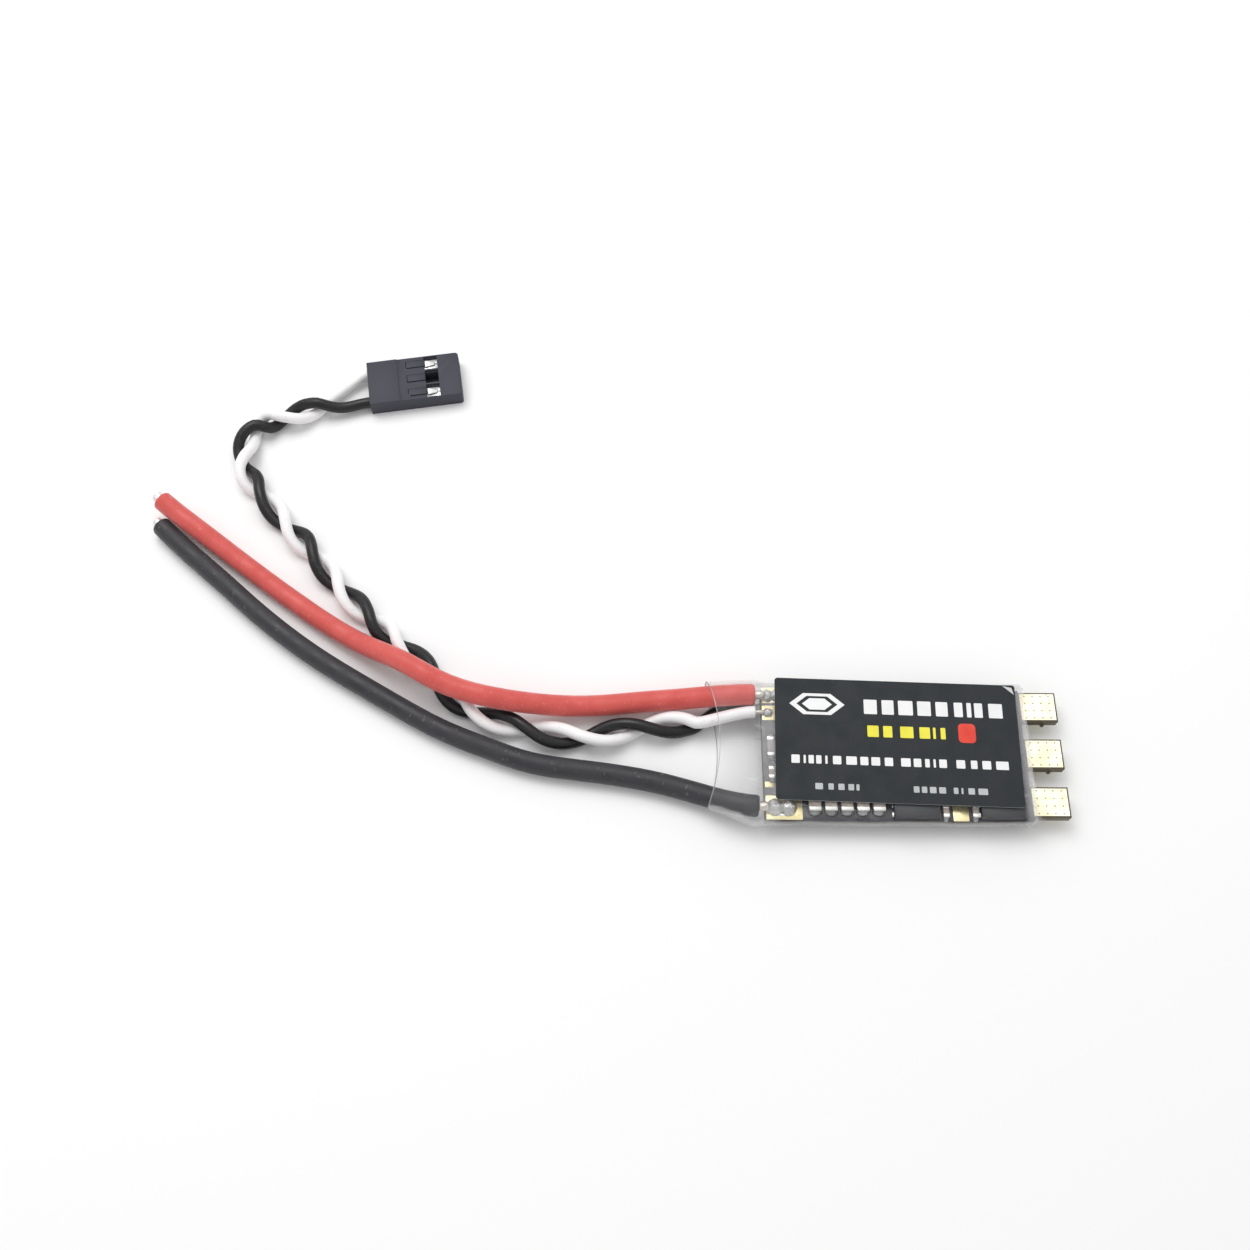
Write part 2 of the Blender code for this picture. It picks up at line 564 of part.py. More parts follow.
# ---------------------------------------------------------------- the plug
def plug_frame(parts):
    frame = bpy.data.objects.new("plug_frame", None)
    frame.location = PLUG_CENTRE
    frame.rotation_euler.z = PLUG_TURN
    parts.objects.link(frame)
    return frame


def add_plug(parts, cutters, materials):
    """The three-way housing with its cavities and windows, two terminals and three tongues."""
    frame = plug_frame(parts)
    plastic = materials["plug"]
    half_length, half_width = PLUG_LENGTH / 2, PLUG_POLES * PLUG_PITCH / 2
    housing = add_box(
        "plug_housing", (-half_length, -half_width, 0.0), (half_length, half_width, PLUG_HEIGHT),
        plastic, parts, 0.12 * MM, frame)
    rear = add_box(
        "plug_rear_block", (-half_length, -half_width, 0.0),
        (PLUG_STEP_X, half_width, PLUG_HEIGHT + PLUG_STEP), plastic, cutters, 0.12 * MM, frame)
    add_boolean(housing, make_cutter(rear), "UNION")
    cavity_top = CAVITY_FLOOR + CAVITY_SIDE
    tongue_low = PLUG_HEIGHT - TONGUE_THICKNESS
    tongue_end = WINDOW_START
    for pole in range(PLUG_POLES):
        y = pole_y(pole)
        cavity_half = CAVITY_SIDE / 2
        slot_half = TONGUE_WIDTH / 2 + TONGUE_GAP
        boxes = (
            ("cavity", (-half_length - MM, y - cavity_half, CAVITY_FLOOR),
             (half_length - SOCKET_DEPTH, y + cavity_half, cavity_top)),
            ("socket", (half_length - 2 * SOCKET_DEPTH, y - SOCKET_SIDE / 2, PLUG_HEIGHT / 2 - SOCKET_SIDE / 2),
             (half_length + MM, y + SOCKET_SIDE / 2, PLUG_HEIGHT / 2 + SOCKET_SIDE / 2)),
            ("slot", (TONGUE_ROOT - TONGUE_GAP, y - slot_half, cavity_top - 0.1 * MM),
             (WINDOW_START + 0.1 * MM, y + slot_half, PLUG_HEIGHT + MM)),
            ("window", (WINDOW_START, y - cavity_half + 0.05 * MM, cavity_top - 0.1 * MM),
             (WINDOW_START + WINDOW_LENGTH, y + cavity_half - 0.05 * MM, PLUG_HEIGHT + MM)),
        )
        for kind, low, high in boxes:
            cutter = add_box(f"plug_{kind}_cutter_{pole + 1}", low, high, plastic, cutters, 0, frame)
            add_boolean(housing, make_cutter(cutter))
        add_box(
            f"latch_tongue_{pole + 1}", (TONGUE_ROOT, y - TONGUE_WIDTH / 2, tongue_low),
            (tongue_end, y + TONGUE_WIDTH / 2, PLUG_HEIGHT), plastic, parts, 0.05 * MM, frame)
    for name, pole in (("signal_terminal", 0), ("ground_terminal", PLUG_POLES - 1)):
        y, front_x = pole_y(pole), half_length - SOCKET_DEPTH - FIT_GAP
        low = (TERMINAL_BACK, y - TERMINAL_SIDE / 2, CAVITY_FLOOR + FIT_GAP)
        high = (front_x, y + TERMINAL_SIDE / 2, CAVITY_FLOOR + FIT_GAP + TERMINAL_SIDE)
        terminal = add_box(name, low, high, materials["terminal"], parts, EDGE_ROUND, frame)
        middle_z = (low[2] + high[2]) / 2
        bore = add_box(
            f"{name}_bore_cutter", (front_x - 6.0 * MM, y - TERMINAL_BORE / 2, middle_z - TERMINAL_BORE / 2),
            (front_x + MM, y + TERMINAL_BORE / 2, middle_z + TERMINAL_BORE / 2),
            materials["terminal"], cutters, 0, frame)
        add_boolean(terminal, make_cutter(bore))


def main():
    clear_scene()
    parts = new_collection("speed_controller")
    cutters = new_collection("cutters")
    materials = {
        "board": new_material("board_solder_mask", (0.045, 0.04, 0.085), 0.45),
        "film": new_material("clear_film", (0.86, 0.87, 0.88), 0.12, alpha=0.35),
        "label": new_material("label_black", (0.045, 0.05, 0.055), 0.6),
        "gold": new_material("gold_plate", (0.93, 0.8, 0.42), 0.3, 1.0),
        "chip": new_material("chip_black", (0.06, 0.06, 0.065), 0.5),
        "ceramic": new_material("chip_ceramic", (0.42, 0.36, 0.33), 0.45),
        "solder": new_material("solder", (0.7, 0.7, 0.7), 0.3, 1.0),
        "copper": new_material("tinned_copper", (0.72, 0.68, 0.62), 0.35, 1.0),
        "red": new_material("red_silicone", (0.78, 0.09, 0.06), 0.5),
        "black": new_material("black_silicone", (0.035, 0.036, 0.04), 0.55),
        "white": new_material("white_silicone", (0.88, 0.88, 0.88), 0.5),
        "plug": new_material("plug_plastic", (0.07, 0.07, 0.08), 0.5),
        "terminal": new_material("terminal_metal", (0.75, 0.75, 0.74), 0.28, 1.0),
    }
    add_board(parts, materials)
    add_motor_pads(parts, materials)
    add_mosfets(parts, materials)
    add_capacitors(parts, materials)
    add_small_parts(parts, materials)
    add_pads_and_joints(parts, materials)
    add_sleeve(parts, materials)
    add_label(parts, materials)
    add_cords(parts, materials)
    add_plug(parts, cutters, materials)


main()
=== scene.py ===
"""Looks of a small brushless-motor speed controller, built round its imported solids.

The board sits in a clear heat-shrunk film with a sticker on top. Two silicone power leads and a
twisted pair of thin signal wires leave the film's open end, and the pair ends in a three-way plug.
"""

from __future__ import annotations

import logging
import math
from dataclasses import dataclass, field
from enum import Enum
from typing import Callable, Iterable, Sequence

import bmesh
import bpy
import numpy as np
from mathutils import Matrix, Vector

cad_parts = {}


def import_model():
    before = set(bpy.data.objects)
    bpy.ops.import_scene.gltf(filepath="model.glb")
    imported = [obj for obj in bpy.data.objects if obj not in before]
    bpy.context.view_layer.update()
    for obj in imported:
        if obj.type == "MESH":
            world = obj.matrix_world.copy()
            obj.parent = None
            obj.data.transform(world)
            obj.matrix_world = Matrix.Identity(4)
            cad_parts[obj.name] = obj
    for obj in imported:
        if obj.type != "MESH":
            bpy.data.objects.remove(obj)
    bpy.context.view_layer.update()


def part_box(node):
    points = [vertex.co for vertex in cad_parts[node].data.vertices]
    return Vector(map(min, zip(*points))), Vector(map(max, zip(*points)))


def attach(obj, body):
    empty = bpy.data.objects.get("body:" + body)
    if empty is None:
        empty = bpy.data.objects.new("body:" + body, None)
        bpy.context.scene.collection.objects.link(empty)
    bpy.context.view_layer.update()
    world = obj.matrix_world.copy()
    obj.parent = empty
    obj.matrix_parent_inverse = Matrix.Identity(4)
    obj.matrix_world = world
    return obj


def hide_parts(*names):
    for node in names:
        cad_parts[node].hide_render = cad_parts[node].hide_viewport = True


LOG = logging.getLogger("speed_controller")
MM = 0.001

Piece = bpy.types.Object
Material = bpy.types.Material
Colour = tuple[float, float, float]
Test = Callable[[Vector, Vector], bool]
Route = tuple[tuple[float, float, float], ...]

# ---------------------------------------------------------------- routes of the cords, in mm
RED_ROUTE: Route = (
    (-17.0, 7.9, 3.74), (-18.6, 7.9, 3.7), (-21.0, 7.85, 3.5), (-23.6, 7.75, 3.2),
    (-27.5, 7.6, 2.6), (-32.5, 7.35, 2.1), (-38.5, 6.85, 1.95), (-44.5, 6.6, 2.75),
    (-50.4, 6.7, 4.35), (-56.1, 7.75, 5.0), (-60.6, 9.6, 5.1), (-65.0, 12.2, 4.75),
    (-69.0, 14.5, 3.1), (-74.0, 17.5, 1.85), (-79.3, 21.1, 1.5), (-84.8, 25.1, 1.47),
    (-90.4, 29.3, 1.6), (-96.0, 33.5, 2.15), (-98.6, 35.35, 2.65), (-101.9, 37.85, 3.4),
)
BLACK_ROUTE: Route = (
    (-17.0, -7.65, 3.74), (-18.4, -7.5, 3.6), (-20.4, -7.0, 3.1), (-23.3, -5.95, 2.1),
    (-29.0, -4.15, 1.55), (-35.1, -2.9, 1.46), (-41.2, -2.1, 1.46), (-47.3, -1.1, 1.46),
    (-53.1, 0.9, 1.46), (-59.0, 3.3, 1.46), (-64.7, 6.35, 1.46), (-70.4, 9.7, 1.46),
    (-76.2, 13.25, 1.46), (-81.9, 17.25, 1.46), (-87.4, 21.7, 1.46), (-91.6, 25.4, 1.46),
    (-95.75, 28.95, 1.46), (-98.6, 31.45, 1.46), (-102.0, 34.7, 1.46),
)
TWIST_CROSSINGS: tuple[tuple[float, float], ...] = (
    (-25.0, 4.25), (-32.6, 3.85), (-40.5, 2.35), (-48.3, 3.75), (-55.6, 6.2), (-60.5, 10.9),
    (-66.2, 16.2), (-70.3, 20.0), (-75.1, 24.75), (-79.3, 30.1), (-83.6, 34.55),
    (-88.1, 40.2), (-91.2, 44.95), (-90.2, 51.1), (-86.9, 52.8), (-81.0, 55.1),
)
WHITE_START: Route = ((-17.0, 5.55, 3.42), (-18.2, 5.5, 3.3), (-20.2, 5.25, 2.85), (-22.4, 4.75, 2.6))
WHITE_APPROACH: Route = ((-78.6, 57.7, 1.0), (-76.0, 60.2, 1.15))
GROUND_START: Route = ((-17.0, 7.5, 1.18), (-18.4, 7.45, 1.18), (-20.3, 7.1, 1.16), (-22.8, 5.95, 1.16))
GROUND_APPROACH: Route = ((-78.2, 55.0, 1.6), (-75.3, 55.75, 1.3))
TWIST_REACH = 1.05
PLUG_CENTRE = Vector((-66.9, 59.8, 0.0)) * MM
PLUG_TURN = math.radians(9.0)
PLUG_LENGTH = 14.0 * MM
PLUG_HEIGHT = 2.54 * MM
PLUG_PITCH = 2.54 * MM


# ---------------------------------------------------------------- modelling helpers
def deselect_all() -> None:
    """Leaves nothing selected, in object mode."""
    if bpy.context.object and bpy.context.object.mode != "OBJECT":
        bpy.ops.object.mode_set(mode="OBJECT")
    bpy.ops.object.select_all(action="DESELECT")


def activate(piece: Piece) -> None:
    """Makes a piece the only selected one and the active one.

    Args:
        piece: The piece to work on.
    """
    deselect_all()
    piece.select_set(True)
    bpy.context.view_layer.objects.active = piece


def settle(piece: Piece) -> Piece:
    """Puts a piece's place, turn and size into its mesh.

    Args:
        piece: The piece.

    Returns:
        The same piece.
    """
    activate(piece)
    bpy.ops.object.transform_apply(location=True, rotation=True, scale=True)
    return piece


def add_block(name: str, low: Sequence[float], high: Sequence[float]) -> Piece:
    """Adds a cube primitive between two corners.

    Args:
        name: The piece's name.
        low: Its lowest corner, in metres.
        high: Its highest corner.

    Returns:
        The new piece, with its place in its mesh.
    """
    low, high = Vector(low), Vector(high)
    deselect_all()
    bpy.ops.mesh.primitive_cube_add(size=1.0, location=(low + high) / 2)
    block = bpy.context.object
    block.name = name
    block.scale = high - low
    return settle(block)


def add_rod(name: str, centre: Sequence[float], radius: float, length: float, axis: str = "Z",
            vertices: int = 24) -> Piece:
    """Adds a cylinder primitive along an axis.

    Args:
        name: The piece's name.
        centre: Its middle, in metres.
        radius: Its radius.
        length: Its length along the axis.
        axis: "X", "Y" or "Z".
        vertices: How many sides it has.

    Returns:
        The new piece, with its place in its mesh.
    """
    turn = {"X": (0, math.pi / 2, 0), "Y": (math.pi / 2, 0, 0), "Z": (0, 0, 0)}[axis]
    deselect_all()
    bpy.ops.mesh.primitive_cylinder_add(
        vertices=vertices, radius=radius, depth=length, location=centre, rotation=turn)
    rod = bpy.context.object
    rod.name = name
    return settle(rod)


def add_ball(name: str, centre: Sequence[float], radii: Sequence[float], segments: int = 24) -> Piece:
    """Adds a sphere primitive, stretched to three radii.

    Args:
        name: The piece's name.
        centre: Its middle, in metres.
        radii: Its three radii.
        segments: How many sides it has.

    Returns:
        The new piece, with its place in its mesh.
    """
    deselect_all()
    bpy.ops.mesh.primitive_uv_sphere_add(
        segments=segments, ring_count=segments // 2, radius=1.0, location=centre)
    ball = bpy.context.object
    ball.name = name
    ball.scale = radii
    return settle(ball)


def enter_edit(piece: Piece, mode: str = "FACE") -> None:
    """Opens a piece in edit mode with nothing selected.

    Args:
        piece: The piece to edit.
        mode: "VERT", "EDGE" or "FACE".
    """
    activate(piece)
    bpy.ops.object.mode_set(mode="EDIT")
    bpy.ops.mesh.select_mode(type=mode)
    bpy.ops.mesh.select_all(action="DESELECT")


def leave_edit() -> None:
    """Goes back to object mode."""
    bpy.ops.object.mode_set(mode="OBJECT")


def leave_facing_out() -> None:
    """Turns every face of the piece outwards and goes back to object mode."""
    bpy.ops.mesh.select_all(action="SELECT")
    bpy.ops.mesh.normals_make_consistent(inside=False)
    leave_edit()


def select_faces(piece: Piece, test: Test) -> None:
    """Selects the faces of the piece in edit mode whose middle and normal pass a test.

    Args:
        piece: The piece being edited.
        test: Takes a face's middle and normal.
    """
    mesh = bmesh.from_edit_mesh(piece.data)
    for face in mesh.faces:
        face.select_set(test(face.calc_center_median(), face.normal))
    bmesh.update_edit_mesh(piece.data)


def select_edges(piece: Piece, test: Test) -> None:
    """Selects edges in edit mode by their middle and direction.

    Args:
        piece: The piece being edited.
        test: Takes an edge's middle and direction.
    """
    mesh = bmesh.from_edit_mesh(piece.data)
    for edge in mesh.edges:
        first, last = edge.verts[0].co, edge.verts[1].co
        direction = (last - first).normalized()
        edge.select_set(test((first + last) / 2, direction))
    bmesh.update_edit_mesh(piece.data)


def apply_modifier(piece: Piece, kind: str, **settings: object) -> None:
    """Adds a modifier to a piece and applies it.

    Args:
        piece: The piece.
        kind: The modifier's type.
        **settings: Its properties.
    """
    activate(piece)
    modifier = piece.modifiers.new(kind.lower(), kind)
    for name, value in settings.items():
        setattr(modifier, name, value)
    bpy.ops.object.modifier_apply(modifier=modifier.name)


def round_edges(piece: Piece, width: float, segments: int = 3, angle: float = 35.0) -> Piece:
    """Rounds a piece's sharp edges and shades it smooth up to that angle.

    Args:
        piece: The piece.
        width: The rounding's width, in metres.
        segments: Its steps.
        angle: The least angle that counts as sharp, in degrees.

    Returns:
        The same piece.
    """
    apply_modifier(
        piece, "BEVEL", width=width, segments=segments, limit_method="ANGLE",
        angle_limit=math.radians(angle), use_clamp_overlap=True)
    return shade(piece, angle)


def shade(piece: Piece, angle: float = 35.0) -> Piece:
    """Shades a piece smooth, apart from edges sharper than the angle.

    Args:
        piece: The piece.
        angle: The angle, in degrees.

    Returns:
        The same piece.
    """
    activate(piece)
    bpy.ops.object.shade_smooth_by_angle(angle=math.radians(angle))
    return piece


def carve(piece: Piece, cutter: Piece, operation: str = "DIFFERENCE") -> Piece:
    """Applies a Boolean with another piece, which is then removed.

    Args:
        piece: The piece that is cut.
        cutter: The piece that cuts it.
        operation: "DIFFERENCE" or "UNION".

    Returns:
        The carved piece.
    """
    apply_modifier(piece, "BOOLEAN", operation=operation, solver="EXACT", object=cutter)
    bpy.data.objects.remove(cutter, do_unlink=True)
    return piece


def join(name: str, pieces: Sequence[Piece]) -> Piece:
    """Joins pieces into the first one, which takes the name.

    Args:
        name: The whole's name.
        pieces: The pieces, of which the first is kept.

    Returns:
        The whole.
    """
    activate(pieces[0])
    for piece in pieces[1:]:
        piece.select_set(True)
    bpy.ops.object.join()
    pieces[0].name = name
    return pieces[0]


def copy_of(piece: Piece, name: str, matrix: Matrix) -> Piece:
    """Copies a piece with a mesh of its own, moved by a matrix.

    Args:
        piece: The piece to copy.
        name: The copy's name.
        matrix: Where the copy goes.

    Returns:
        The copy.
    """
    twin = piece.copy()
    twin.data = piece.data.copy()
    twin.name = name
    bpy.context.scene.collection.objects.link(twin)
    twin.data.transform(matrix)
    twin.data.update()
    return twin


def loft(name: str, rings: Sequence[Sequence[Sequence[float]]], capped: bool = True) -> Piece:
    """Extrudes a ring of edges through a row of rings.

    Args:
        name: The piece's name.
        rings: The rings, each with the same number of points, in metres.
        capped: Whether the first and last rings are filled.

    Returns:
        The new piece, its faces pointing out.
    """
    deselect_all()
    bpy.ops.mesh.primitive_circle_add(vertices=len(rings[0]), radius=1.0)
    piece = bpy.context.object
    piece.name = name
    bpy.ops.object.mode_set(mode="EDIT")
    bpy.ops.mesh.select_mode(type="VERT")
    bpy.ops.mesh.select_all(action="SELECT")
    mesh = bmesh.from_edit_mesh(piece.data)
    for vert, place in zip(mesh.verts, rings[0]):
        vert.co = place
    bmesh.update_edit_mesh(piece.data)
    if capped:
        bpy.ops.mesh.edge_face_add()
    for before, after in zip(rings, rings[1:]):
        if capped:
            bpy.ops.mesh.extrude_region()
        else:
            bpy.ops.mesh.extrude_edges_move()
        mesh = bmesh.from_edit_mesh(piece.data)
        known = np.array(before, float)
        for vert in [v for v in mesh.verts if v.select]:
            nearest = int(np.argmin(np.linalg.norm(known - np.array(vert.co), axis=1)))
            vert.co = after[nearest]
        bmesh.update_edit_mesh(piece.data)
    leave_facing_out()
    return piece


def rounded_outline(width: float, height: float, corner: float, steps: int) -> list[tuple[float, float]]:
    """Points of a rectangle with round corners and evenly split sides, about the origin.

    Args:
        width: The rectangle's width.
        height: Its height.
        corner: Its corners' radius.
        steps: How many steps each corner has.

    Returns:
        The points, in order.
    """
    points = []
    for quarter, (side_x, side_y) in enumerate(((1, 1), (-1, 1), (-1, -1), (1, -1))):
        for step in range(steps + 1):
            angle = math.pi / 2 * (quarter + step / steps)
            points.append((
                side_x * (width / 2 - corner) + corner * math.cos(angle),
                side_y * (height / 2 - corner) + corner * math.sin(angle),
            ))
    return points


def even_ring(points: Sequence[Sequence[float]], count: int) -> np.ndarray:
    """Spreads points evenly round a closed outline.

    Args:
        points: The outline's corners.
        count: How many points to return.

    Returns:
        The points, one row each.
    """
    closed = np.array([*points, points[0]], float)
    walked = np.concatenate(([0.0], np.cumsum(np.linalg.norm(np.diff(closed, axis=0), axis=1))))
    stations = np.arange(count) * walked[-1] / count
    columns = [np.interp(stations, walked, closed[:, axis]) for axis in range(closed.shape[1])]
    return np.stack(columns, axis=1)


def natural_spline(points: Sequence[Sequence[float]], count: int) -> np.ndarray:
    """Spreads points evenly along a natural cubic spline.

    Args:
        points: The places that the spline passes through.
        count: How many points to return.

    Returns:
        The points, one row each.
    """
    knots = np.array(points, float)
    chords = np.linalg.norm(np.diff(knots, axis=0), axis=1)
    stations = np.concatenate(([0.0], np.cumsum(np.sqrt(chords))))
    steps = np.diff(stations)
    system = np.eye(len(knots))
    right = np.zeros_like(knots)
    for i in range(1, len(knots) - 1):
        system[i, i - 1:i + 2] = steps[i - 1], 2 * (steps[i - 1] + steps[i]), steps[i]
        slopes = (knots[i + 1] - knots[i]) / steps[i] - (knots[i] - knots[i - 1]) / steps[i - 1]
        right[i] = 6 * slopes
    bends = np.linalg.solve(system, right)
    fine = np.linspace(0.0, stations[-1], 60 * len(knots))
    span = np.clip(np.searchsorted(stations, fine, side="right") - 1, 0, len(steps) - 1)
    step = steps[span][:, None]
    after = (fine - stations[span])[:, None]
    before = step - after
    curve = (
        (bends[span] * before**3 + bends[span + 1] * after**3) / (6 * step)
        + (knots[span] / step - bends[span] * step / 6) * before
        + (knots[span + 1] / step - bends[span + 1] * step / 6) * after
    )
    walked = np.concatenate(([0.0], np.cumsum(np.linalg.norm(np.diff(curve, axis=0), axis=1))))
    even = np.linspace(0.0, walked[-1], count)
    return np.stack([np.interp(even, walked, curve[:, axis]) for axis in range(3)], axis=1)


def in_plug(x: float, y: float, z: float) -> Vector:
    """Turns a place in the plug's own axes, in metres, into one in the object's frame."""
    return PLUG_CENTRE + Matrix.Rotation(PLUG_TURN, 3, "Z") @ Vector((x, y, z))


PLUG_MATRIX = Matrix.Translation(PLUG_CENTRE) @ Matrix.Rotation(PLUG_TURN, 4, "Z")


def dress(piece: Piece, materials: Iterable[Material]) -> Piece:
    """Gives a piece its materials, in slot order.

    Args:
        piece: The piece.
        materials: Its materials.

    Returns:
        The same piece.
    """
    piece.data.materials.clear()
    for material in materials:
        piece.data.materials.append(material)
    return piece


def finish_piece(piece: Piece, nodes: Sequence[str] = (), body: str = "root") -> Piece:
    """Makes a piece ride on its body and stand for its solids, and logs it.

    Args:
        piece: The finished piece.
        nodes: The solids that it stands for.
        body: The body that it rides on.

    Returns:
        The same piece.
    """
    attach(piece, body)
    if nodes:
        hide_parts(*nodes)
    LOG.info("%s rides on %s", piece.name, body)
    return piece


# ---------------------------------------------------------------- finishes
class NodeKit:
    """Short ways to add and link shader nodes in one tree."""

    def __init__(self, tree: bpy.types.NodeTree) -> None:
        """Works on the given tree."""
        self.tree = tree

    def add(self, kind: str, **settings: object) -> bpy.types.Node:
        """Adds a node and sets its properties.

        Args:
            kind: The node's type.
            **settings: Its properties.

        Returns:
            The node.
        """
        node = self.tree.nodes.new(kind)
        for name, value in settings.items():
            setattr(node, name, value)
        return node

    def fill(self, node: bpy.types.Node, values: dict[str, object]) -> None:
        """Sets a node's own input numbers, by the inputs' names."""
        for name, value in values.items():
            node.inputs[name].default_value = value

    def link(self, source: bpy.types.NodeSocket, target: bpy.types.NodeSocket) -> None:
        """Links one socket to another."""
        self.tree.links.new(source, target)

    def place(self) -> bpy.types.NodeSocket:
        """Adds the object coordinates."""
        return self.add("ShaderNodeTexCoord").outputs["Object"]

    def noise(self, coordinate: bpy.types.NodeSocket, scale: float, detail: float = 4.0,
              roughness: float = 0.55) -> bpy.types.NodeSocket:
        """Adds a noise texture and returns its value.

        Args:
            coordinate: The place that the noise is read at.
            scale: Its scale.
            detail: Its detail.
            roughness: Its roughness.

        Returns:
            The noise's value.
        """
        node = self.add("ShaderNodeTexNoise")
        self.fill(node, {"Scale": scale, "Detail": detail, "Roughness": roughness})
        self.link(coordinate, node.inputs["Vector"])
        return node.outputs["Fac"]

    def spread(self, value: bpy.types.NodeSocket, low: float, high: float, to_low: float = 0.0,
               to_high: float = 1.0) -> bpy.types.NodeSocket:
        """Maps a value's range onto another, clamped.

        Args:
            value: The value.
            low: The lowest value taken in.
            high: The highest.
            to_low: What the lowest becomes.
            to_high: What the highest becomes.

        Returns:
            The mapped value.
        """
        node = self.add("ShaderNodeMapRange")
        self.fill(node, {"From Min": low, "From Max": high, "To Min": to_low, "To Max": to_high})
        self.link(value, node.inputs["Value"])
        return node.outputs["Result"]

    def math(self, operation: str, first: bpy.types.NodeSocket, second: object) -> bpy.types.NodeSocket:
        """Adds a math node on a socket and a socket or number.

        Args:
            operation: The node's operation.
            first: The first value.
            second: The second value.

        Returns:
            The result.
        """
        node = self.add("ShaderNodeMath", operation=operation)
        self.link(first, node.inputs[0])
        if isinstance(second, (int, float)):
            node.inputs[1].default_value = second
        else:
            self.link(second, node.inputs[1])
        return node.outputs[0]

    def mix(self, factor: bpy.types.NodeSocket, first: object, second: object) -> bpy.types.NodeSocket:
        """Mixes two colours, each a socket or a constant.

        Args:
            factor: The second colour's share.
            first: The first colour.
            second: The second colour.

        Returns:
            The mixed colour.
        """
        node = self.add("ShaderNodeMix", data_type="RGBA")
        self.link(factor, node.inputs[0])
        for value, target in ((first, node.inputs[6]), (second, node.inputs[7])):
            if isinstance(value, tuple):
                target.default_value = (*value, 1.0)
            else:
                self.link(value, target)
        return node.outputs[2]


def grain_group() -> bpy.types.NodeTree:
    """Builds the shared grain effect once: fine bumps, broad patches and small specks.

    Returns:
        The node group, with scales in as numbers and masks out as values.
    """
    known = bpy.data.node_groups.get("grain")
    if known:
        return known
    group = bpy.data.node_groups.new("grain", "ShaderNodeTree")
    for name, value in (("Fine Scale", 9000.0), ("Patch Scale", 400.0), ("Speck Scale", 2500.0)):
        socket = group.interface.new_socket(name=name, in_out="INPUT", socket_type="NodeSocketFloat")
        socket.default_value = value
    for name in ("Fine", "Patches", "Specks", "Height"):
        group.interface.new_socket(name=name, in_out="OUTPUT", socket_type="NodeSocketFloat")
    kit = NodeKit(group)
    source = kit.add("NodeGroupInput")
    result = kit.add("NodeGroupOutput")
    place = kit.place()
    made = []
    for name, detail in (("Fine Scale", 3.0), ("Patch Scale", 5.0), ("Speck Scale", 2.0)):
        node = kit.add("ShaderNodeTexNoise")
        node.inputs["Detail"].default_value = detail
        kit.link(place, node.inputs["Vector"])
        kit.link(source.outputs[name], node.inputs["Scale"])
        made.append(node.outputs["Fac"])
    fine = made[0]
    patches = kit.spread(made[1], 0.35, 0.65)
    specks = kit.spread(made[2], 0.64, 0.72)
    height = kit.math("MULTIPLY_ADD", made[1], 0.35)
    kit.link(fine, height.node.inputs[2])
    for name, value in (("Fine", fine), ("Patches", patches), ("Specks", specks), ("Height", height)):
        kit.link(value, result.inputs[name])
    return group


def edge_group() -> bpy.types.NodeTree:
    """Builds the shared edge effect once: a mask that is high on worn outer edges.

    Returns:
        The node group.
    """
    known = bpy.data.node_groups.get("worn_edges")
    if known:
        return known
    group = bpy.data.node_groups.new("worn_edges", "ShaderNodeTree")
    group.interface.new_socket(name="Breakup Scale", in_out="INPUT", socket_type="NodeSocketFloat")
    group.interface.new_socket(name="Edge", in_out="OUTPUT", socket_type="NodeSocketFloat")
    kit = NodeKit(group)
    source = kit.add("NodeGroupInput")
    result = kit.add("NodeGroupOutput")
    place = kit.place()
    sharp = kit.spread(kit.add("ShaderNodeNewGeometry").outputs["Pointiness"], 0.52, 0.62)
    node = kit.add("ShaderNodeTexNoise")
    kit.link(place, node.inputs["Vector"])
    kit.link(source.outputs["Breakup Scale"], node.inputs["Scale"])
    broken = kit.spread(node.outputs["Fac"], 0.4, 0.6)
    kit.link(kit.math("MULTIPLY", sharp, broken), result.inputs["Edge"])
    return group


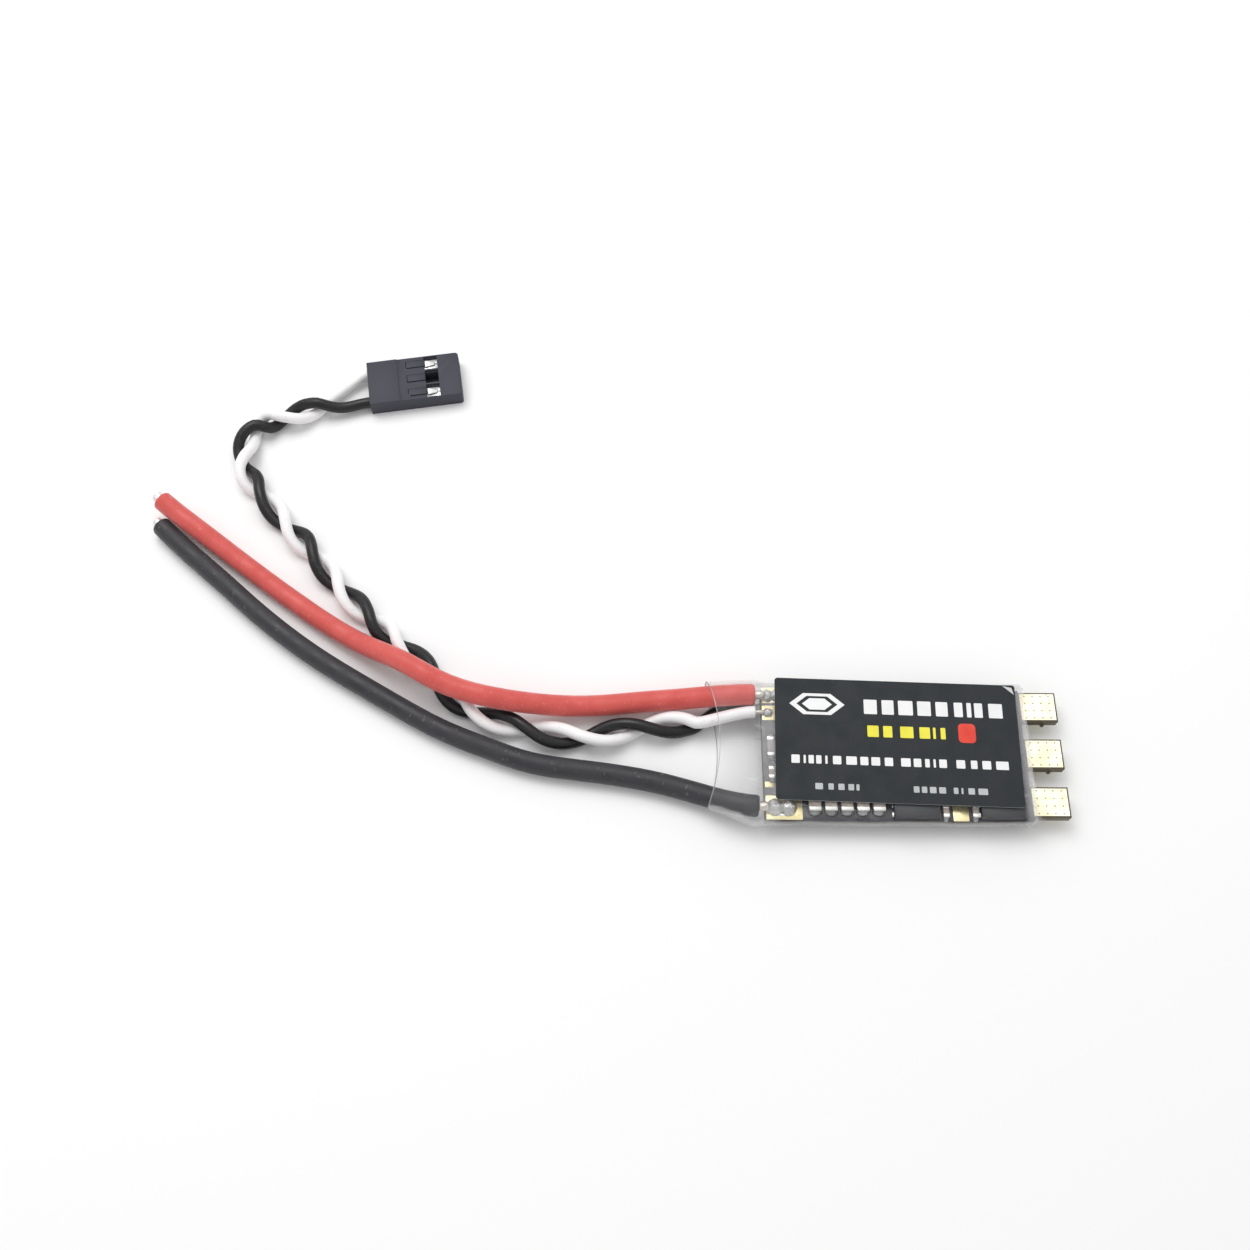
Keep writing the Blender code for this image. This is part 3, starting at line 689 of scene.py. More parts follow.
@dataclass(frozen=True)
class Finish:
    """A surface with grain, patches and worn edges, each in its own measure."""

    name: str
    colour: Colour
    patch_colour: Colour
    roughness: float
    metallic: float = 0.0
    specular: float = 0.5
    coat: float = 0.0
    sheen: float = 0.0
    fine_scale: float = 9000.0
    patch_scale: float = 400.0
    speck_scale: float = 2500.0
    bump: float = 0.12
    bump_depth: float = 0.02 * MM
    roughness_swing: float = 0.12
    edge_colour: Colour | None = None
    speck_colour: Colour | None = None

    def shader(self) -> tuple[Material, NodeKit, bpy.types.Node, bpy.types.Node]:
        """Starts the material: its Principled shader, and the grain group beside it.

        Returns:
            The material, its node kit, its shader and the grain node.
        """
        material = bpy.data.materials.new(f"{self.name}_finish")
        material.use_nodes = True
        kit = NodeKit(material.node_tree)
        principled = material.node_tree.nodes["Principled BSDF"]
        kit.fill(principled, {
            "Metallic": self.metallic, "Specular IOR Level": self.specular, "Coat Weight": self.coat,
            "Coat Roughness": 0.15, "Sheen Weight": self.sheen})
        grain = kit.add("ShaderNodeGroup", node_tree=grain_group())
        kit.fill(grain, {
            "Fine Scale": self.fine_scale, "Patch Scale": self.patch_scale, "Speck Scale": self.speck_scale})
        return material, kit, principled, grain

    def colour_of(self, kit: NodeKit, grain: bpy.types.Node) -> bpy.types.NodeSocket:
        """Colour with its patches, specks and worn edges.

        Args:
            kit: The material's node kit.
            grain: The grain node.

        Returns:
            The colour.
        """
        colour = kit.mix(grain.outputs["Patches"], self.colour, self.patch_colour)
        if self.speck_colour:
            colour = kit.mix(grain.outputs["Specks"], colour, self.speck_colour)
        if self.edge_colour:
            edges = kit.add("ShaderNodeGroup", node_tree=edge_group())
            edges.inputs["Breakup Scale"].default_value = self.speck_scale
            colour = kit.mix(edges.outputs["Edge"], colour, self.edge_colour)
        return colour

    def height_of(self, kit: NodeKit, grain: bpy.types.Node) -> bpy.types.NodeSocket:
        """Height that the bump reads."""
        return grain.outputs["Height"]

    def build(self) -> Material:
        """Builds the material, or returns it if it is there already.

        Returns:
            The material.
        """
        known = bpy.data.materials.get(f"{self.name}_finish")
        if known:
            return known
        material, kit, principled, grain = self.shader()
        kit.link(self.colour_of(kit, grain), principled.inputs["Base Color"])
        low, high = self.roughness - self.roughness_swing, self.roughness + self.roughness_swing
        kit.link(kit.spread(grain.outputs["Patches"], 0.0, 1.0, low, high), principled.inputs["Roughness"])
        bump = kit.add("ShaderNodeBump")
        kit.fill(bump, {"Strength": self.bump, "Distance": self.bump_depth})
        kit.link(self.height_of(kit, grain), bump.inputs["Height"])
        kit.link(bump.outputs["Normal"], principled.inputs["Normal"])
        self.add_cover(kit, principled)
        return material

    def add_cover(self, kit: NodeKit, principled: bpy.types.Node) -> None:
        """Sets how much light the surface stops, which is all of it here."""


@dataclass(frozen=True)
class MaskedBoard(Finish):
    """Solder mask over copper: broad lighter areas stand up where copper runs below."""

    def copper(self, kit: NodeKit) -> bpy.types.NodeSocket:
        """Mask of copper areas under the solder mask.

        Args:
            kit: The material's node kit.

        Returns:
            The mask.
        """
        place = kit.place()
        cells = kit.add("ShaderNodeTexVoronoi", distance="CHEBYCHEV")
        kit.fill(cells, {"Scale": 450.0, "Randomness": 0.75})
        kit.link(place, cells.inputs["Vector"])
        return kit.spread(cells.outputs["Distance"], 0.28, 0.33)

    def colour_of(self, kit: NodeKit, grain: bpy.types.Node) -> bpy.types.NodeSocket:
        """Adds the copper's tint."""
        plain = kit.mix(grain.outputs["Patches"], self.colour, self.patch_colour)
        return kit.mix(self.copper(kit), (0.05, 0.047, 0.062), plain)

    def height_of(self, kit: NodeKit, grain: bpy.types.Node) -> bpy.types.NodeSocket:
        """Adds the copper's step.

        Args:
            kit: The material's node kit.
            grain: The grain node.

        Returns:
            The height.
        """
        total = kit.math("MULTIPLY_ADD", self.copper(kit), -1.2)
        kit.link(grain.outputs["Height"], total.node.inputs[2])
        return total


@dataclass(frozen=True)
class Laminate(Finish):
    """The board's cut edge, with its glass layers."""

    def colour_of(self, kit: NodeKit, grain: bpy.types.Node) -> bpy.types.NodeSocket:
        """Layers along the board's thickness.

        Args:
            kit: The material's node kit.
            grain: The grain node, which is not used here.

        Returns:
            The colour.
        """
        place = kit.place()
        wave = kit.add("ShaderNodeTexWave", bands_direction="Z")
        kit.fill(wave, {"Scale": 900.0, "Distortion": 1.5})
        kit.link(place, wave.inputs["Vector"])
        return kit.mix(wave.outputs["Fac"], self.colour, self.patch_colour)


@dataclass(frozen=True)
class Film(Finish):
    """Clear heat-shrunk film: nearly clear face-on, and milky where it turns away. White streaks and two
    white bands of extra cover are painted highlights.
    """

    clear: float = 0.008
    milky: float = 0.42
    lead_haze: float = 0.018
    # the step and end bands and the streaks paint the film's highlights as extra white cover
    step_painted_highlight: float = 0.1
    end_painted_highlight: float = 0.16
    painted_highlight_streak: float = 0.16

    def painted_highlight_band(self, kit: NodeKit, along: bpy.types.NodeSocket, middle: float, reach: float,
             most: float) -> bpy.types.NodeSocket:
        """A painted highlight: extra white cover that peaks at one place along the sleeve and fades out on
        both sides.
        """
        away = kit.math("ABSOLUTE", kit.math("SUBTRACT", along, middle), 0.0)
        return kit.spread(away, 0.3 * reach, reach, most, 0.0)

    def alpha_of(self, kit: NodeKit) -> bpy.types.NodeSocket:
        """How much of the film shows: more at grazing angles and over the leads, and in painted highlights:
        white streaks and bands over the film's step near the mouth and over its far end.

        Args:
            kit: The material's node kit.

        Returns:
            The film's cover, from 0 to 1.
        """
        turned = kit.add("ShaderNodeLayerWeight")
        turned.inputs["Blend"].default_value = 0.5
        edge = kit.spread(turned.outputs["Facing"], 0.35, 0.97, self.clear, self.milky)
        place = kit.place()
        along = kit.add("ShaderNodeSeparateXYZ")
        kit.link(place, along.inputs[0])
        leads = kit.spread(along.outputs["X"], -16.6 * MM, -16.0 * MM, self.lead_haze, 0.0)
        # painted highlight: a milky band where the film steps down over the board's left end
        step = self.painted_highlight_band(kit, along.outputs["X"], -15.6 * MM, 1.5 * MM, self.step_painted_highlight)
        # painted highlight: a milky band over the film's far end, above the pads
        end = self.painted_highlight_band(kit, along.outputs["X"], 18.6 * MM, 1.3 * MM, self.end_painted_highlight)
        # leads now holds the haze over the leads and both painted highlight bands
        leads = kit.math("ADD", kit.math("ADD", leads, step), end)
        stretched = kit.add("ShaderNodeMapping")
        stretched.inputs["Scale"].default_value = (0.25, 1.0, 1.0)
        kit.link(place, stretched.inputs["Vector"])
        # painted highlights: thin stretched streaks of extra white cover
        painted_highlight_streaks = kit.noise(stretched.outputs["Vector"], 620.0, 3.0, 0.5)
        painted_highlight_streaks = kit.spread(painted_highlight_streaks, 0.64, 0.74, 0.0, self.painted_highlight_streak)
        return kit.math("ADD", kit.math("ADD", edge, leads), painted_highlight_streaks)

    def height_of(self, kit: NodeKit, grain: bpy.types.Node) -> bpy.types.NodeSocket:
        """Height of the film's slow waves."""
        return kit.noise(kit.place(), 260.0, 2.0, 0.4)

    def add_cover(self, kit: NodeKit, principled: bpy.types.Node) -> None:
        """Lets the board show through the film."""
        kit.link(self.alpha_of(kit), principled.inputs["Alpha"])


@dataclass(frozen=True)
class FilmRim(Finish):
    """The film's cut edge, which shows as a thin grey line."""

    cover: float = 0.55

    def add_cover(self, kit: NodeKit, principled: bpy.types.Node) -> None:
        """Lets a little light through the edge."""
        principled.inputs["Alpha"].default_value = self.cover


@dataclass(frozen=True)
class Silicone(Finish):
    """Silicone insulation with a dusty, faintly wavy skin."""

    def height_of(self, kit: NodeKit, grain: bpy.types.Node) -> bpy.types.NodeSocket:
        """Adds a slow ripple to the fine grain.

        Args:
            kit: The material's node kit.
            grain: The grain node.

        Returns:
            The height.
        """
        place = kit.place()
        ripple = kit.noise(place, 350.0, 2.0)
        total = kit.math("MULTIPLY_ADD", ripple, 2.0)
        kit.link(grain.outputs["Height"], total.node.inputs[2])
        return total


class Finishes(Enum):
    """Every finish of the object."""

    BOARD = MaskedBoard("board_solder_mask", (0.022, 0.022, 0.03), (0.032, 0.031, 0.042), 0.38, coat=0.3)
    TAB_EDGE = Laminate("tab_edge", (0.13, 0.1, 0.05), (0.07, 0.055, 0.03), 0.5)
    LAMINATE = Laminate("board_edge", (0.075, 0.055, 0.03), (0.03, 0.022, 0.015), 0.6)
    FILM = Film("clear_film", (0.93, 0.935, 0.94), (0.88, 0.885, 0.9), 0.14, specular=0.7,
                roughness_swing=0.05, bump=0.35, bump_depth=0.06 * MM)
    FILM_EDGE = FilmRim("film_edge", (0.46, 0.46, 0.48), (0.38, 0.38, 0.4), 0.3)
    LABEL = Finish("label_face", (0.018, 0.021, 0.025), (0.022, 0.026, 0.029), 0.6, specular=0.3,
                   fine_scale=14000.0, speck_colour=(0.034, 0.038, 0.042), speck_scale=5000.0, bump=0.2)
    LABEL_EDGE = Finish("label_edge", (0.72, 0.73, 0.74), (0.6, 0.61, 0.62), 0.7, specular=0.3)
    INK_WHITE = Finish("ink_white", (0.86, 0.86, 0.86), (0.8, 0.8, 0.8), 0.6, fine_scale=14000.0)
    INK_GREY = Finish("ink_grey", (0.5, 0.51, 0.52), (0.44, 0.45, 0.46), 0.6, fine_scale=14000.0)
    INK_YELLOW = Finish("ink_yellow", (0.86, 0.79, 0.06), (0.78, 0.72, 0.05), 0.6, fine_scale=14000.0)
    INK_RED = Finish("ink_red", (0.78, 0.06, 0.03), (0.7, 0.05, 0.03), 0.6, fine_scale=14000.0)
    GOLD = Finish("gold_plate", (1.0, 0.96, 0.75), (0.99, 0.93, 0.62), 0.3, metallic=0.9, bump=0.2,
                  speck_colour=(0.85, 0.7, 0.42))
    GOLD_SMALL = Finish("small_pad_gold", (0.96, 0.86, 0.52), (0.84, 0.73, 0.4), 0.34, metallic=0.9,
                        bump=0.2, speck_colour=(0.7, 0.56, 0.3))
    # painted shade: darker gold for the insides of the shallow via holes, standing in for the shade of deep
    # holes
    GOLD_HOLE = Finish("shaded_gold_hole", (0.52, 0.43, 0.2), (0.42, 0.34, 0.15), 0.5, metallic=0.6)
    EPOXY = Finish("chip_epoxy", (0.03, 0.031, 0.036), (0.034, 0.035, 0.04), 0.45, bump=0.04,
                   roughness_swing=0.04, fine_scale=16000.0, patch_scale=180.0)
    CERAMIC = Finish("chip_ceramic", (0.3, 0.25, 0.22), (0.24, 0.2, 0.18), 0.42,
                     edge_colour=(0.4, 0.35, 0.31))
    RESISTOR = Finish("resistor_body", (0.4, 0.35, 0.36), (0.34, 0.3, 0.31), 0.4)
    TIN = Finish("tinned_end", (0.78, 0.77, 0.74), (0.66, 0.65, 0.62), 0.3, metallic=1.0, bump=0.5,
                 bump_depth=0.04 * MM, fine_scale=5000.0)
    # painted shade: the fillets' solder is darker than the other solder, for the shade on the caps' front
    # faces; its rougher finish is real
    FILLET = Finish("shaded_solder_fillet", (0.42, 0.42, 0.42), (0.32, 0.32, 0.32), 0.4, metallic=0.8, bump=0.4)
    SOLDER = Finish("solder", (0.66, 0.66, 0.65), (0.48, 0.48, 0.47), 0.34, metallic=0.9, bump=0.6,
                    bump_depth=0.05 * MM, fine_scale=3500.0, speck_colour=(0.35, 0.34, 0.32))
    FREE_TIP = Finish("tinned_tip", (0.92, 0.91, 0.89), (0.84, 0.83, 0.8), 0.42, metallic=0.75)
    STRAND = Finish("tinned_strand", (0.76, 0.74, 0.7), (0.66, 0.6, 0.52), 0.34, metallic=1.0)
    RED = Silicone("red_silicone", (0.66, 0.098, 0.085), (0.6, 0.082, 0.07), 0.52, specular=0.4, sheen=0.25,
                   speck_colour=(0.72, 0.16, 0.14))
    BLACK = Silicone("black_silicone", (0.028, 0.028, 0.034), (0.038, 0.038, 0.044), 0.52, specular=0.4,
                     sheen=0.05, speck_colour=(0.075, 0.075, 0.078), speck_scale=1500.0)
    BLACK_THIN = Silicone("black_wire_skin", (0.01, 0.01, 0.0115), (0.015, 0.015, 0.017), 0.4, specular=0.38,
                          speck_colour=(0.035, 0.035, 0.036))
    WHITE = Silicone("white_silicone", (0.92, 0.905, 0.91), (0.87, 0.855, 0.865), 0.45, specular=0.45,
                     speck_colour=(0.78, 0.76, 0.76))
    PLUG = Finish("plug_plastic", (0.046, 0.046, 0.063), (0.048, 0.048, 0.066), 0.55, specular=0.3,
                  bump=0.08, fine_scale=9000.0, patch_scale=150.0, roughness_swing=0.03)
    TERMINAL = Finish("terminal_metal", (0.66, 0.66, 0.65), (0.5, 0.5, 0.5), 0.46, metallic=1.0, bump=0.3,
                      fine_scale=3000.0, patch_scale=900.0)

    def make(self) -> Material:
        """The finish's material."""
        return self.value.build()


# ---------------------------------------------------------------- camera, light and floor
@dataclass
class Studio:
    """The camera, the soft lights and the pale floor."""

    camera_place: Vector = field(default_factory=lambda: Vector((-34.9, -56.92, 167.73)) * MM)
    lens_mm: float = 37.59
    floor_side: float = 3.0
    world_strength: float = 0.66
    key_watts: float = 0.95
    key_size: float = 0.28
    glow_watts: float = 0.3
    glow_size: float = 0.35

    def add_camera(self) -> None:
        """Adds the camera, looking steeply down and a little back."""
        data = bpy.data.cameras.new("camera")
        data.lens = self.lens_mm
        data.sensor_width = 36.0
        data.clip_start = 0.01
        camera = bpy.data.objects.new("camera", data)
        right = Vector((0.99998, 0.00461, 0.00385))
        up = Vector((-0.00579, 0.9093, 0.4161))
        back = right.cross(up).normalized()
        up = back.cross(right).normalized()
        turn = Matrix((right.normalized(), up, back)).transposed()
        camera.matrix_world = Matrix.Translation(self.camera_place) @ turn.to_4x4()
        bpy.context.scene.collection.objects.link(camera)
        bpy.context.scene.camera = camera

    def add_area(self, name: str, place: Sequence[float], target: Sequence[float], side: float,
                 watts: float) -> None:
        """Adds a square soft light that faces a target.

        Args:
            name: The light's name.
            place: Where it stands.
            target: What it faces.
            side: Its side, in metres.
            watts: Its power.
        """
        data = bpy.data.lights.new(name, "AREA")
        data.size = side
        data.energy = watts
        light = bpy.data.objects.new(name, data)
        light.location = place
        light.rotation_euler = (Vector(target) - Vector(place)).to_track_quat("-Z", "Y").to_euler()
        bpy.context.scene.collection.objects.link(light)

    def add_lights(self) -> None:
        """Adds an even pale sky and a soft key from behind the left."""
        world = bpy.data.worlds.new("studio")
        bpy.context.scene.world = world
        world.use_nodes = True
        sky = world.node_tree.nodes["Background"]
        sky.inputs["Color"].default_value = (1.0, 1.0, 1.0, 1.0)
        sky.inputs["Strength"].default_value = self.world_strength
        self.add_area("key", (-0.17, 0.2, 0.38), (-0.03, 0.01, 0.0), self.key_size, self.key_watts)
        self.add_area("glow", (0.09, 0.16, 0.46), (-0.02, 0.01, 0.0), self.glow_size, self.glow_watts)
        bpy.context.scene.view_settings.view_transform = "Standard"

    def add_floor(self) -> None:
        """Adds the pale floor."""
        deselect_all()
        bpy.ops.mesh.primitive_plane_add(size=self.floor_side, location=(0, 0, -0.00002))
        floor = bpy.context.object
        floor.name = "floor"
        settle(floor)
        finish = Finish("floor_paint", (0.93, 0.93, 0.93), (0.925, 0.925, 0.925), 0.75, specular=0.2,
                        patch_scale=6.0, bump=0.0)
        dress(floor, [finish.build()])

    def build(self) -> None:
        """Builds all of the studio apart from the camera."""
        self.add_lights()
        self.add_floor()


# ---------------------------------------------------------------- cords
@dataclass
class PowerLead:
    """One thick silicone lead with a short tinned end."""

    colour: str
    route: Route
    finish: Finishes
    exit_mm: tuple[float, float, float]
    length: float
    diameter: float = 2.9 * MM
    tip_diameter: float = 1.7 * MM
    points: int = 60
    end_round: float = 0.5 * MM

    def build_lead(self) -> Piece:
        """Builds the insulation as a curve whose ends are slightly rounded.

        Returns:
            The lead.
        """
        places = natural_spline(self.route, self.points) * MM
        places, radii = round_ends(places, self.diameter / 2, self.end_round)
        lead = add_cord_curve(f"{self.colour}_lead", places, radii, self.diameter)
        dress(lead, [self.finish.make()])
        return finish_piece(lead, [f"{self.colour}_power_lead"])

    def build_tip(self) -> Piece:
        """Builds the twisted, tinned strands that stick out of the far end.

        Returns:
            The tip.
        """
        places = natural_spline(self.route, self.points) * MM
        end = Vector(places[-1])
        heading = (end - Vector(places[-2])).normalized()
        tip = strand_bundle(
            f"{self.colour}_tip", end - heading * 0.3 * MM, heading, self.tip_diameter / 2, 1.28 * MM)
        dress(tip, [Finishes.FREE_TIP.make()])
        return finish_piece(tip, [f"{self.colour}_lead_tinned_tip"])

    def build(self) -> None:
        lead = self.build_lead()
        tip = self.build_tip()


def round_ends(places: np.ndarray, radius: float, reach: float) -> tuple[np.ndarray, list[float]]:
    """Adds points at both ends of a cord whose radius falls off in a quarter circle.

    Args:
        places: The cord's points.
        radius: Its radius.
        reach: How far back from each end the rounding runs.

    Returns:
        The points and each point's share of the full radius.
    """
    shares = [math.sin(math.radians(a)) for a in (30, 50, 70)]
    backs = [1 - math.cos(math.radians(a)) for a in (30, 50, 70)]
    start_way = (places[1] - places[0]) / np.linalg.norm(places[1] - places[0])
    end_way = (places[-2] - places[-1]) / np.linalg.norm(places[-2] - places[-1])
    floor_share = 1 - reach / radius
    falls = [floor_share + (1 - floor_share) * share for share in shares]
    head = [places[0] + start_way * reach * back for back in backs]
    tail = [places[-1] + end_way * reach * back for back in backs]
    middle = places[1:-1]
    head.append(places[0] + start_way * reach)
    tail.append(places[-1] + end_way * reach)
    points = np.array([*head, *middle, *reversed(tail)])
    radii = [*falls, 1.0, *[1.0] * len(middle), 1.0, *reversed(falls)]
    return points, radii


def add_cord_curve(name: str, places: np.ndarray, radii: Sequence[float], diameter: float) -> Piece:
    """Adds a round cord along points, closed at both ends.

    Args:
        name: The cord's name.
        places: Its points, in metres.
        radii: Each point's share of the full radius.
        diameter: Its diameter.

    Returns:
        The cord.
    """
    curve = bpy.data.curves.new(name, "CURVE")
    curve.dimensions = "3D"
    curve.bevel_depth = diameter / 2
    curve.bevel_resolution = 6
    curve.use_fill_caps = True
    spline = curve.splines.new("POLY")
    spline.points.add(len(places) - 1)
    for point, place, radius in zip(spline.points, places, radii):
        point.co = (*place, 1.0)
        point.radius = radius
    spline.use_smooth = True
    cord = bpy.data.objects.new(name, curve)
    bpy.context.scene.collection.objects.link(cord)
    return cord


def strand_bundle(name: str, start: Vector, heading: Vector, radius: float, length: float) -> Piece:
    """Builds a short rod of twisted strands with a rounded end.

    Args:
        name: The piece's name.
        start: The middle of its near end.
        heading: The way it points.
        radius: Its outer radius.
        length: Its length.

    Returns:
        The rod.
    """
    strands, around, rows = 9, 54, 10
    side = heading.orthogonal().normalized()
    other = heading.cross(side)
    rings = []
    for row in range(rows + 1):
        share = row / rows
        fall = math.sqrt(max(0.0, 1 - max(0.0, (share - 0.75) / 0.25) ** 2 * 0.75))
        ring = []
        for step in range(around):
            angle = 2 * math.pi * step / around
            lobes = 0.93 + 0.07 * abs(math.cos(strands / 2 * (angle + 0.9 * share)))
            reach = radius * lobes * fall
            outward = side * math.cos(angle) + other * math.sin(angle)
            ring.append(start + heading * length * share + outward * reach)
        rings.append(ring)
    return shade(loft(name, rings), 50)


@dataclass
class TwistedPair:
    """The white and black signal wires that wind round each other."""

    diameter: float = 1.65 * MM
    gap: float = 0.16
    per_half_turn: int = 8
    points: int = 210
    entry_depth: float = 3.16 * MM

    def twist(self, white: bool) -> list[tuple[float, float, float]]:
        """Route of one wire between the first and the last crossing, in mm.

        Args:
            white: Whether it is the white wire.

        Returns:
            The route's points.
        """
        count = (len(TWIST_CROSSINGS) - 1) * self.per_half_turn + 1
        knots = [(x, y, 0.0) for x, y in TWIST_CROSSINGS]
        fine = natural_spline(knots, 1200)
        nearest = [int(np.argmin(np.linalg.norm(fine - np.array(knot), axis=1))) for knot in knots]
        turns = np.interp(np.linspace(0, len(knots) - 1, count), range(len(knots)), nearest)
        heading = np.gradient(fine, axis=0)
        heading /= np.linalg.norm(heading, axis=1)[:, None]
        side = 1.0 if white else -1.0
        thickness = self.diameter / MM
        middle = (2 * thickness + self.gap) / 2
        lift = middle - thickness / 2
        route = []
        for step, station in enumerate(turns):
            index = int(round(station))
            phase = math.pi * step / self.per_half_turn
            sideways = np.array((-heading[index][1], heading[index][0], 0.0))
            place = fine[index] - sideways * side * TWIST_REACH * math.sin(phase)
            route.append((place[0], place[1], middle + side * lift * math.cos(phase)))
        return route

    def route(self, white: bool) -> list[tuple[float, float, float]]:
        """Whole route of one wire, from the board into the plug, in mm.

        Args:
            white: Whether it is the white wire.

        Returns:
            The route's points.
        """
        start = WHITE_START if white else GROUND_START
        approach = WHITE_APPROACH if white else GROUND_APPROACH
        y = PLUG_PITCH if white else -PLUG_PITCH
        entry = [
            tuple(in_plug(x, y, PLUG_HEIGHT / 2) / MM)
            for x in (-PLUG_LENGTH / 2 - 0.4 * MM, -self.entry_depth)
        ]
        return [*start, *self.twist(white), *approach, *entry]

    def build_wire(self, name: str, white: bool, finish: Finishes) -> Piece:
        """Builds one wire as a curve.

        Args:
            name: The wire's name.
            white: Whether it is the white wire.
            finish: Its finish.

        Returns:
            The wire.
        """
        places = natural_spline(self.route(white), self.points) * MM
        places, radii = round_ends(places, self.diameter / 2, 0.2 * MM)
        wire = add_cord_curve(name, places, radii, self.diameter)
        dress(wire, [finish.make()])
        return finish_piece(wire, [f"{name.replace('_wire', '')}_signal_wire"])

    def build(self) -> tuple[Piece, Piece]:
        """Builds both wires.

        Returns:
            The white wire and the black wire.
        """
        white = self.build_wire("white_wire", True, Finishes.WHITE)
        black = self.build_wire("black_wire", False, Finishes.BLACK_THIN)
        return white, black


# ---------------------------------------------------------------- the board and its parts
@dataclass
class Board:
    """The circuit board, its tabs and its gold pads."""

    tab_nodes: tuple[str, ...] = ("motor_pad_a_top", "motor_pad_b_top", "motor_pad_c_top")
    tab_length: float = 4.95 * MM
    tab_width: float = 4.15 * MM
    pad_start: float = 18.85 * MM
    nub: float = 0.3 * MM
    via_radius: float = 0.12 * MM
    via_pitch_x: float = 1.09 * MM
    via_pitch_y: float = 1.03 * MM

    def build_board(self) -> Piece:
        """Cuts the board from a block: its tabs are pushed out of one end.

        Returns:
            The board.
        """
        low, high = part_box("circuit_board")
        root = high.x - self.tab_length
        board = add_block("board", low, (root, high.y, high.z))
        middles = [sum(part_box(node), Vector()).y / 2 for node in self.tab_nodes]
        half = self.tab_width / 2
        enter_edit(board)
        for y in [m + side * half for m in middles for side in (-1, 1)]:
            bpy.ops.mesh.select_all(action="SELECT")
            bpy.ops.mesh.bisect(plane_co=(0, y, 0), plane_no=(0, 1, 0))
        nub_x = root + 0.62 * self.tab_length
        for middle in middles:
            select_faces(board, lambda c, n, m=middle: n.x > 0.9 and abs(c.y - m) < half)
            bpy.ops.mesh.extrude_region_move(TRANSFORM_OT_translate={"value": (self.tab_length, 0, 0)})
        for x in (nub_x - self.nub, nub_x + self.nub):
            bpy.ops.mesh.select_all(action="SELECT")
            bpy.ops.mesh.bisect(plane_co=(x, 0, 0), plane_no=(1, 0, 0))
        for middle in middles[:2]:
            select_faces(board, lambda c, n, m=middle: (
                n.y < -0.9 and abs(c.x - nub_x) < self.nub / 2 and abs(c.y - m) < 1.1 * half))
            bpy.ops.mesh.extrude_region_move(TRANSFORM_OT_translate={"value": (0, -self.nub, 0)})
            bpy.ops.transform.resize(value=(0.5, 1.0, 1.0))
        leave_edit()
        round_edges(board, 0.06 * MM, 2)
        dress(board, [Finishes.BOARD.make(), Finishes.LAMINATE.make(), Finishes.TAB_EDGE.make()])
        for face in board.data.polygons:
            flat = abs(face.normal.z) > 0.7
            on_tab = face.center.x > root + 0.02 * MM
            face.material_index = 2 if on_tab else (0 if flat else 1)
        return finish_piece(board, ["circuit_board"])

    def build_motor_pads(self) -> None:
        """Builds one pad with its plated holes, whose insides are painted with shade, and copies it to each
        tab and face.
        """
        low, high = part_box("motor_pad_b_top")
        middle_y = (low.y + high.y) / 2
        pad = add_block("motor_pad_template", (self.pad_start, low.y, low.z), high)
        drills = []
        for column in range(4):
            for row in range(4):
                place = (
                    high.x - 0.72 * MM - column * self.via_pitch_x,
                    middle_y + (row - 1.5) * self.via_pitch_y, high.z + 0.07 * MM)
                drills.append(add_rod("drill", place, self.via_radius, 0.2 * MM, vertices=16))
        carve(pad, join("drills", drills))
        shade(pad, 30)
        dress(pad, [Finishes.GOLD.make(), Finishes.GOLD_HOLE.make()])
        # faces inside the via holes take the darker gold, which is painted shade
        for face in pad.data.polygons:
            inside = low.z + 0.01 * MM < face.center.z < high.z - 0.002 * MM
            face.material_index = 1 if inside and face.area < 0.1 * MM * MM else 0
        for letter in "abc":
            for side in ("top", "under"):
                node = f"motor_pad_{letter}_{side}"
                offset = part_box(node)[1] - high
                twin = copy_of(pad, f"motor_pad_{letter}_{side}_plate", Matrix.Translation(offset))
                finish_piece(twin, [node])
        bpy.data.objects.remove(pad, do_unlink=True)

    def build_small_pads(self) -> None:
        """Builds the solder pads of the leads and the test pad, with rounded corners."""
        nodes = (
            "positive_power_pad", "negative_power_pad", "signal_pad", "signal_ground_pad",
            "probe_pad", "test_pad")
        for node in nodes:
            low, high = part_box(node)
            pad = add_block(f"{node}_plate", low, high)
            enter_edit(pad, "EDGE")
            select_edges(pad, lambda c, d: abs(d.z) > 0.9)
            bpy.ops.mesh.bevel(offset=0.12 * MM, segments=4)
            leave_edit()
            round_edges(pad, 0.012 * MM, 2, 50)
            dress(pad, [Finishes.GOLD_SMALL.make()])
            finish_piece(pad, [node])

    def build(self) -> None:
        """Builds the board and all its pads."""
        self.build_board()
        self.build_motor_pads()
        self.build_small_pads()


class ChipStyle(Enum):
    """The ways a soldered part is made."""

    POWER = "power transistor"
    END_CAPPED = "two end caps"
    FLAT_PACK = "leadless square"
    TAB_PACK = "tab and three leads"


